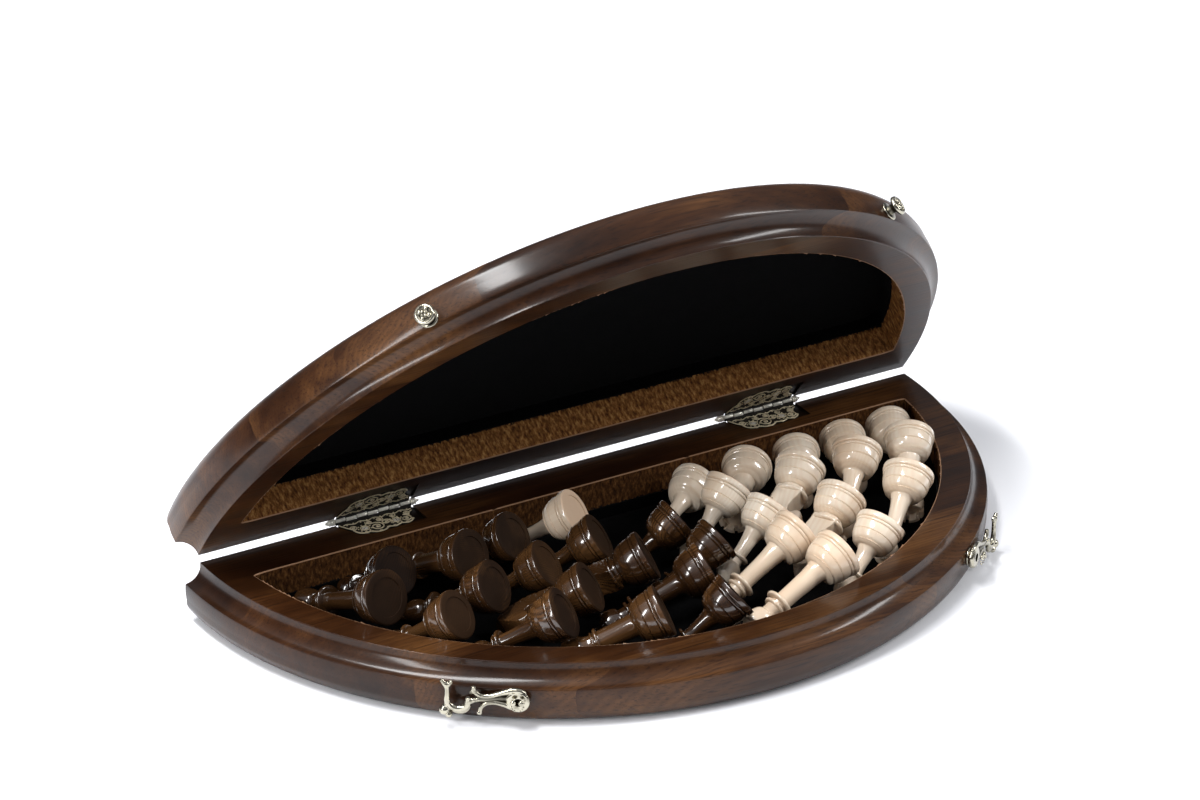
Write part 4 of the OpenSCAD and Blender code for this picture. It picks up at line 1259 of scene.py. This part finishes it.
# The finials are marked brightest: polish with a painted highlight.
store(outlined_pin, "wear_and_painted_light", [float(not 0 < vertex.co.z < BARREL_LEN * MM)
                             for vertex in outlined_pin.data.vertices])
lift = Matrix.Translation((0, 0, BODY_H))
for side, x in HINGES.items():
    along = shifted(x - BARREL_LEN / 2, 0, BODY_MM)
    for phase, spot, half, body in ((0, on_base, "base", "tray"), (1, on_lid, "lid", "lid")):
        node = f"{side}_hinge_{half}_leaf"
        set_piece(copy_of(leaves[phase], node + "_cast"), spot @ along, hinge_brass, 50, body, node)
    node = f"{side}_hinge_pin"
    axis = on_base @ shifted(x - BARREL_LEN / 2, PIN_BACK, PIN.z / MM) @ turned(90, "Y")
    set_piece(copy_of(outlined_pin, node + "_turned"), axis, pin_brass, 40, "tray", node)
for spot, half, body in ((on_base, "base", "tray"), (on_lid, "lid", "lid")):
    node = f"{half}_hinge_screws"
    set_piece(copy_of(screws, node + "_cut"), spot @ lift, pin_brass, 30, body, node)
for pattern in leaves + [screws, outlined_pin]:
    bpy.data.objects.remove(pattern)
print("Hinges set")

# %% [markdown]
# ## The latches
# A hook is a small piece of sculpture: two ridges run from the eye like the necks of a swan, end
# in leaf spurs, and carry a bowl that drops over the neck of the stud. A forked finger and a
# rolled scroll give the thumb its hold. The ridges are tapered wires, pressed flat where they
# are thick, and a fine remesh melts them into one casting.

# %% Measures of the latches
LATCH_Z = 15.3
LEFT_TURN = -35.0
RIGHT_TURN = 38.5
RIGHT_DROOP = 6.0
HOOK_MID = 2.8
HOOK_HALF = 1.5
HOOK_REACH = 2 * (PIN.z / MM - LATCH_Z)
PIVOT_R = 2.05
HEAD_Z = 4.4
STUD_Z = 4.6


def on_band(turn):
    """From a frame on the upright band, with X along the wall, Y up and Z out of the wood."""
    return (turned(turn, "Z") @ Matrix.Translation((0, -LIP_R, LATCH_Z * MM))
            @ turned(90, "X"))


def ridge(points, radii, half=HOOK_HALF):
    """A tapered bar through (x, y) points on the hook's middle plane, no thicker than twice half."""
    bar = wire("ridge", [(x, y, 0) for x, y in points], radii)
    squash = min(1.0, half / max(radii))
    place(bar, Matrix.Translation((0, 0, HOOK_MID * MM)) @ Matrix.Scale(squash, 4, (0, 0, 1)))
    return bar


def curve_through(knots, steps=6):
    """A smooth line of (x, y, radius) through knots, by cubic pieces between neighbours."""
    line = []
    padded = [knots[0]] + knots + [knots[-1]]
    for before, start, end, after in zip(padded, padded[1:], padded[2:], padded[3:]):
        for i in range(steps):
            t = i / steps
            line.append(tuple(0.5 * (2 * b + (c - a) * t + (2 * a - 5 * b + 4 * c - d) * t * t
                                     + (3 * b - a - 3 * c + d) * t ** 3)
                              for a, b, c, d in zip(before, start, end, after)))
    return line + [knots[-1]]


def bar_through(*knots, half=HOOK_HALF):
    line = curve_through(list(knots))
    return ridge([point[:2] for point in line], [point[2] for point in line], half)


def hook():
    bowl = HOOK_REACH
    finger = bowl + 4.9
    eye = [(1, 1.3), (4.6, 1.3), (5.2, 1.6), (5.45, 2.2), (5.45, 3.2), (5.1, 3.95), (4.6, 4.3), (1, 4.3),
           (1, 1.3)]
    bowl_radii = [1.3 + 0.35 * math.sin(math.pi * i / 24) for i in range(25)]
    parts = [lathe("eye", eye, steps=48),
             bar_through((-3.6, 3.6, 1.1), (-0.6, 5.2, 1.4), (2.9, 5.2, 1.5), (6.6, 4.3, 1.4),
                         (10.5, 3.0, 1.2), (14.6, 2.0, 1.05), (17.8, 2.6, 1.1), (19.9, 4.6, 1.25),
                         (20.0, 7.0, 1.0)),
             bar_through((19.8, 4.2, 1.0), (21.0, 4.6, 0.9), (21.6, 3.2, 0.7)),
             bar_through((3.2, -3.4, 1.3), (6.8, -1.9, 1.2), (11.0, -1.1, 1.05), (14.8, -1.7, 1.05),
                         (17.0, -3.6, 1.1), (17.7, -5.8, 1.1)),
             ball(17.9, -6.3, HOOK_MID, 1.4, 1.0),
             bar_through((2.0, 1.2, 4.4), (6.5, 1.2, 2.9), (11.0, 0.9, 2.0), (16.0, 0.3, 1.5),
                         (20.0, -0.3, 1.4), half=0.6),
             bar_through((4.8, 1.2, 0.8), (9.5, 1.1, 0.85), (14.5, 0.4, 0.9), (19.0, 0.2, 1.15),
                         (bowl - 4.6, -1.2, 1.5)),
             ridge(arc(bowl, 0, 4.9, 165, 375, 24), bowl_radii),
             bar_through((bowl - 5.6, -2.6, 0.9), (bowl - 3.4, -5.6, 1.1), (bowl, -6.3, 1.1),
                         (bowl + 3.6, -4.6, 1.0)),
             bar_through((finger, -0.6, 1.3), (finger - 0.2, 2.5, 1.15), (finger - 0.3, 5.2, 1.1),
                         (finger - 0.1, 7.2, 1.3)),
             bar_through((finger, 6.6, 1.2), (finger + 1.2, 8.6, 1.1), (finger + 2.3, 10.1, 0.9)),
             bar_through((finger - 0.2, 6.6, 1.2), (finger - 1.6, 8.2, 1.1), (finger - 2.7, 9.5, 0.85)),
             ball(finger, 7.6, HOOK_MID, 1.5),
             ball(bowl + 6.3, -5.6, HOOK_MID, 2.4),
             ball(bowl + 4.2, -7.9, HOOK_MID, 1.7),
             bar_through((bowl + 5.2, -2.6, 1.2), (bowl + 6.4, -4.2, 1.4), (bowl + 6.3, -5.6, 1.4))]
    piece = join(parts, "hook")
    apply_modifier(piece, "REMESH", mode="VOXEL", voxel_size=0.26 * MM)
    apply_modifier(piece, "SMOOTH", factor=0.5, iterations=5)
    cut(piece, rod(0, 0, PIVOT_R, 0, 6, 40))
    return piece


def dome_outline(radius, height, foot_z):
    """The half section of a domed head that stands at foot_z."""
    round_r = (radius ** 2 + height ** 2) / (2 * height)
    reach = math.degrees(math.asin(min(1.0, radius / round_r)))
    return bow(0, foot_z + height, round_r, -round_r, reach, 0, 14)


def pivot_screw():
    """A domed screw head with a short slot between two raised lips, and its shank."""
    shank = [(0, -2), (2, -2), (2, HEAD_Z), (4.7, HEAD_Z)]
    head = lathe("pivot", shank + dome_outline(5, 3.4, HEAD_Z + 0.1), steps=48)
    lips = [ball(side * 1.9, 1.4, HEAD_Z + 3.0, 1.35, 0.6) for side in (-1, 1)]
    dots = [ball(x, y, HEAD_Z + 2.75, 0.42, 1.0, 10) for x, y in arc(0, 0, 2.9, 190, 350, 6)]
    head = join([head] + lips + dots, "pivot")
    cut(head, box("slot", (-0.6, -2.6, HEAD_Z + 1.6), (0.6, 1.4, HEAD_Z + 6)))
    return head


def stud():
    """A button head with a raised rim, and a cross of leaves in its dish, softened by wear."""
    outline = [(0, -1), (2.3, -1), (2.3, STUD_Z), (4.5, STUD_Z), (4.9, STUD_Z + 0.3), (5.0, STUD_Z + 1.1)]
    dish = [(4.7, STUD_Z + 1.9), (4.2, STUD_Z + 2.3), (3.7, STUD_Z + 2.2), (3.3, STUD_Z + 1.7),
            (2.4, STUD_Z + 1.6), (1.2, STUD_Z + 1.9), (0, STUD_Z + 2.0)]
    head = lathe("stud", outline + dish, steps=48)
    leaves = []
    for i in range(4):
        turn = math.radians(40 + 90 * i)
        far = 2.35 + 0.2 * (i % 2)
        leaves.append(ball(far * math.cos(turn), far * math.sin(turn), STUD_Z + 2.1, 1.15, 0.85, 14))
        leaves.append(ball(1.1 * math.cos(turn + 0.5), 1.1 * math.sin(turn + 0.5), STUD_Z + 2.4, 0.85,
                           segments=12))
    return join([head] + leaves, "stud")


def ring(inner, outer, thick):
    """A washer with rounded edges."""
    outline = [(inner, 0), (outer - 0.2, 0), (outer, 0.25), (outer, thick - 0.35), (outer - 0.35, thick),
               (inner, thick), (inner, 0)]
    return lathe("ring", outline, steps=44)


casts = {"hook": hook(), "pivot_screw": pivot_screw(), "hook_washer": ring(PIVOT_R, 4.4, 1.2),
         "stud": stud(), "stud_ring": ring(2.35, 4.8, 1.0)}
# Each cast is darker on level faces near its middle height, such as the web between the hook's ridges: partly
# tarnish, partly painted shade in those recesses.
WEAR_AND_SHADE_HEIGHTS = {"hook": (HOOK_MID, 0.3, 1.3), "pivot_screw": (HEAD_Z, 0.2, 2.0),
                "hook_washer": (0.5, -0.4, 1.2), "stud": (STUD_Z, 1.3, 2.3), "stud_ring": (0.5, -0.4, 0.6)}
for name, (middle, low, high) in WEAR_AND_SHADE_HEIGHTS.items():
    rub_and_shade(casts[name], lambda z: (abs(z - middle) - low) / (high - low), steep=1.5)
print({name: triangles(cast) for name, cast in casts.items()})

# %% Set the latches
left_band = on_band(LEFT_TURN)
right_band = on_band(RIGHT_TURN)
left_latch = on_base @ left_band @ Matrix.Scale(-1, 4, (1, 0, 0))
right_latch = on_base @ right_band @ Matrix.Rotation(-math.radians(RIGHT_DROOP), 4, "Z")
for side, latch, band in (("left", left_latch, left_band), ("right", right_latch, right_band)):
    for name, spot, body in (("hook", latch, side + "_hook"), ("pivot_screw", latch, "tray"),
                             ("hook_washer", latch, "tray"), ("stud", on_lid @ band, "lid"),
                             ("stud_ring", on_lid @ band, "lid")):
        node = f"{side}_{name}"
        set_piece(copy_of(casts[name], node + "_cast"), spot, latch_brass, 60, body, node)
for cast in casts.values():
    bpy.data.objects.remove(cast)
print("Latches set")

# %% [markdown]
# ## Floor, world and lamps
# The photograph is a bright studio shot on white. The floor is white to the camera and takes a
# soft grey shadow, and broad lamps give the lacquer its long highlights.

# %% Floor and backdrop
bpy.ops.mesh.primitive_plane_add(size=30, location=(0, 0, 0))
floor = applied()
floor.name = "floor"
floor_white, tree, shader = finish_material("floor_white", Roughness=0.6, Specular_IOR_Level=0.2)
shader.inputs["Base Color"].default_value = (0.92, 0.93, 0.96, 1)
shader.inputs["Emission Color"].default_value = (0.97, 0.98, 1.0, 1)
path = tree.nodes.new("ShaderNodeLightPath")
distance = add(tree, "VectorMath", {0: object_place(tree)}, operation="LENGTH").outputs["Value"]
far = ramp(tree, times(tree, distance, 1 / 3), (0.2, 0.05), (0.6, 1.0))
tree.links.new(times(tree, path.outputs["Is Camera Ray"], far), shader.inputs["Emission Strength"])
wear_material(floor, floor_white)

world = bpy.data.worlds.new("studio")
bpy.context.scene.world = world
world.use_nodes = True
tree = world.node_tree
background = tree.nodes["Background"]
path = tree.nodes.new("ShaderNodeLightPath")
seen = math_node(tree, "MAXIMUM", path.outputs["Is Camera Ray"], path.outputs["Is Transmission Ray"])
climb = add(tree, "SeparateXYZ", {0: add(tree, "TexCoord").outputs["Generated"]}).outputs[2]
room = ramp(tree, climb, (0.0, (0.07, 0.07, 0.08)), (0.35, (0.14, 0.14, 0.15)), (0.8, (0.52, 0.53, 0.56)))
tree.links.new(mix(tree, seen, room, (1, 1, 1)), background.inputs["Color"])
bpy.context.scene.view_settings.view_transform = "Standard"


def lamp(name, spot, size, power):
    """A soft box that looks at the middle of the object."""
    data = bpy.data.lights.new(name, "AREA")
    data.shape = "RECTANGLE"
    data.size, data.size_y = size
    data.energy = power
    light = bpy.data.objects.new(name, data)
    direction = Vector(MIDDLE) - Vector(spot)
    light.matrix_world = Matrix.Translation(spot) @ direction.to_track_quat("-Z", "Y").to_matrix().to_4x4()
    bpy.context.scene.collection.objects.link(light)


MIDDLE = (0, 0, 0.08)
lamp("key", (-0.45, 0.1, 1.35), (1.1, 0.22), 25)
lamp("left", (-1.3, -0.35, 0.75), (0.18, 0.9), 12)
lamp("right", (1.2, -0.6, 0.9), (0.2, 0.8), 11)
print("Lamps:", [item.name for item in bpy.data.lights])
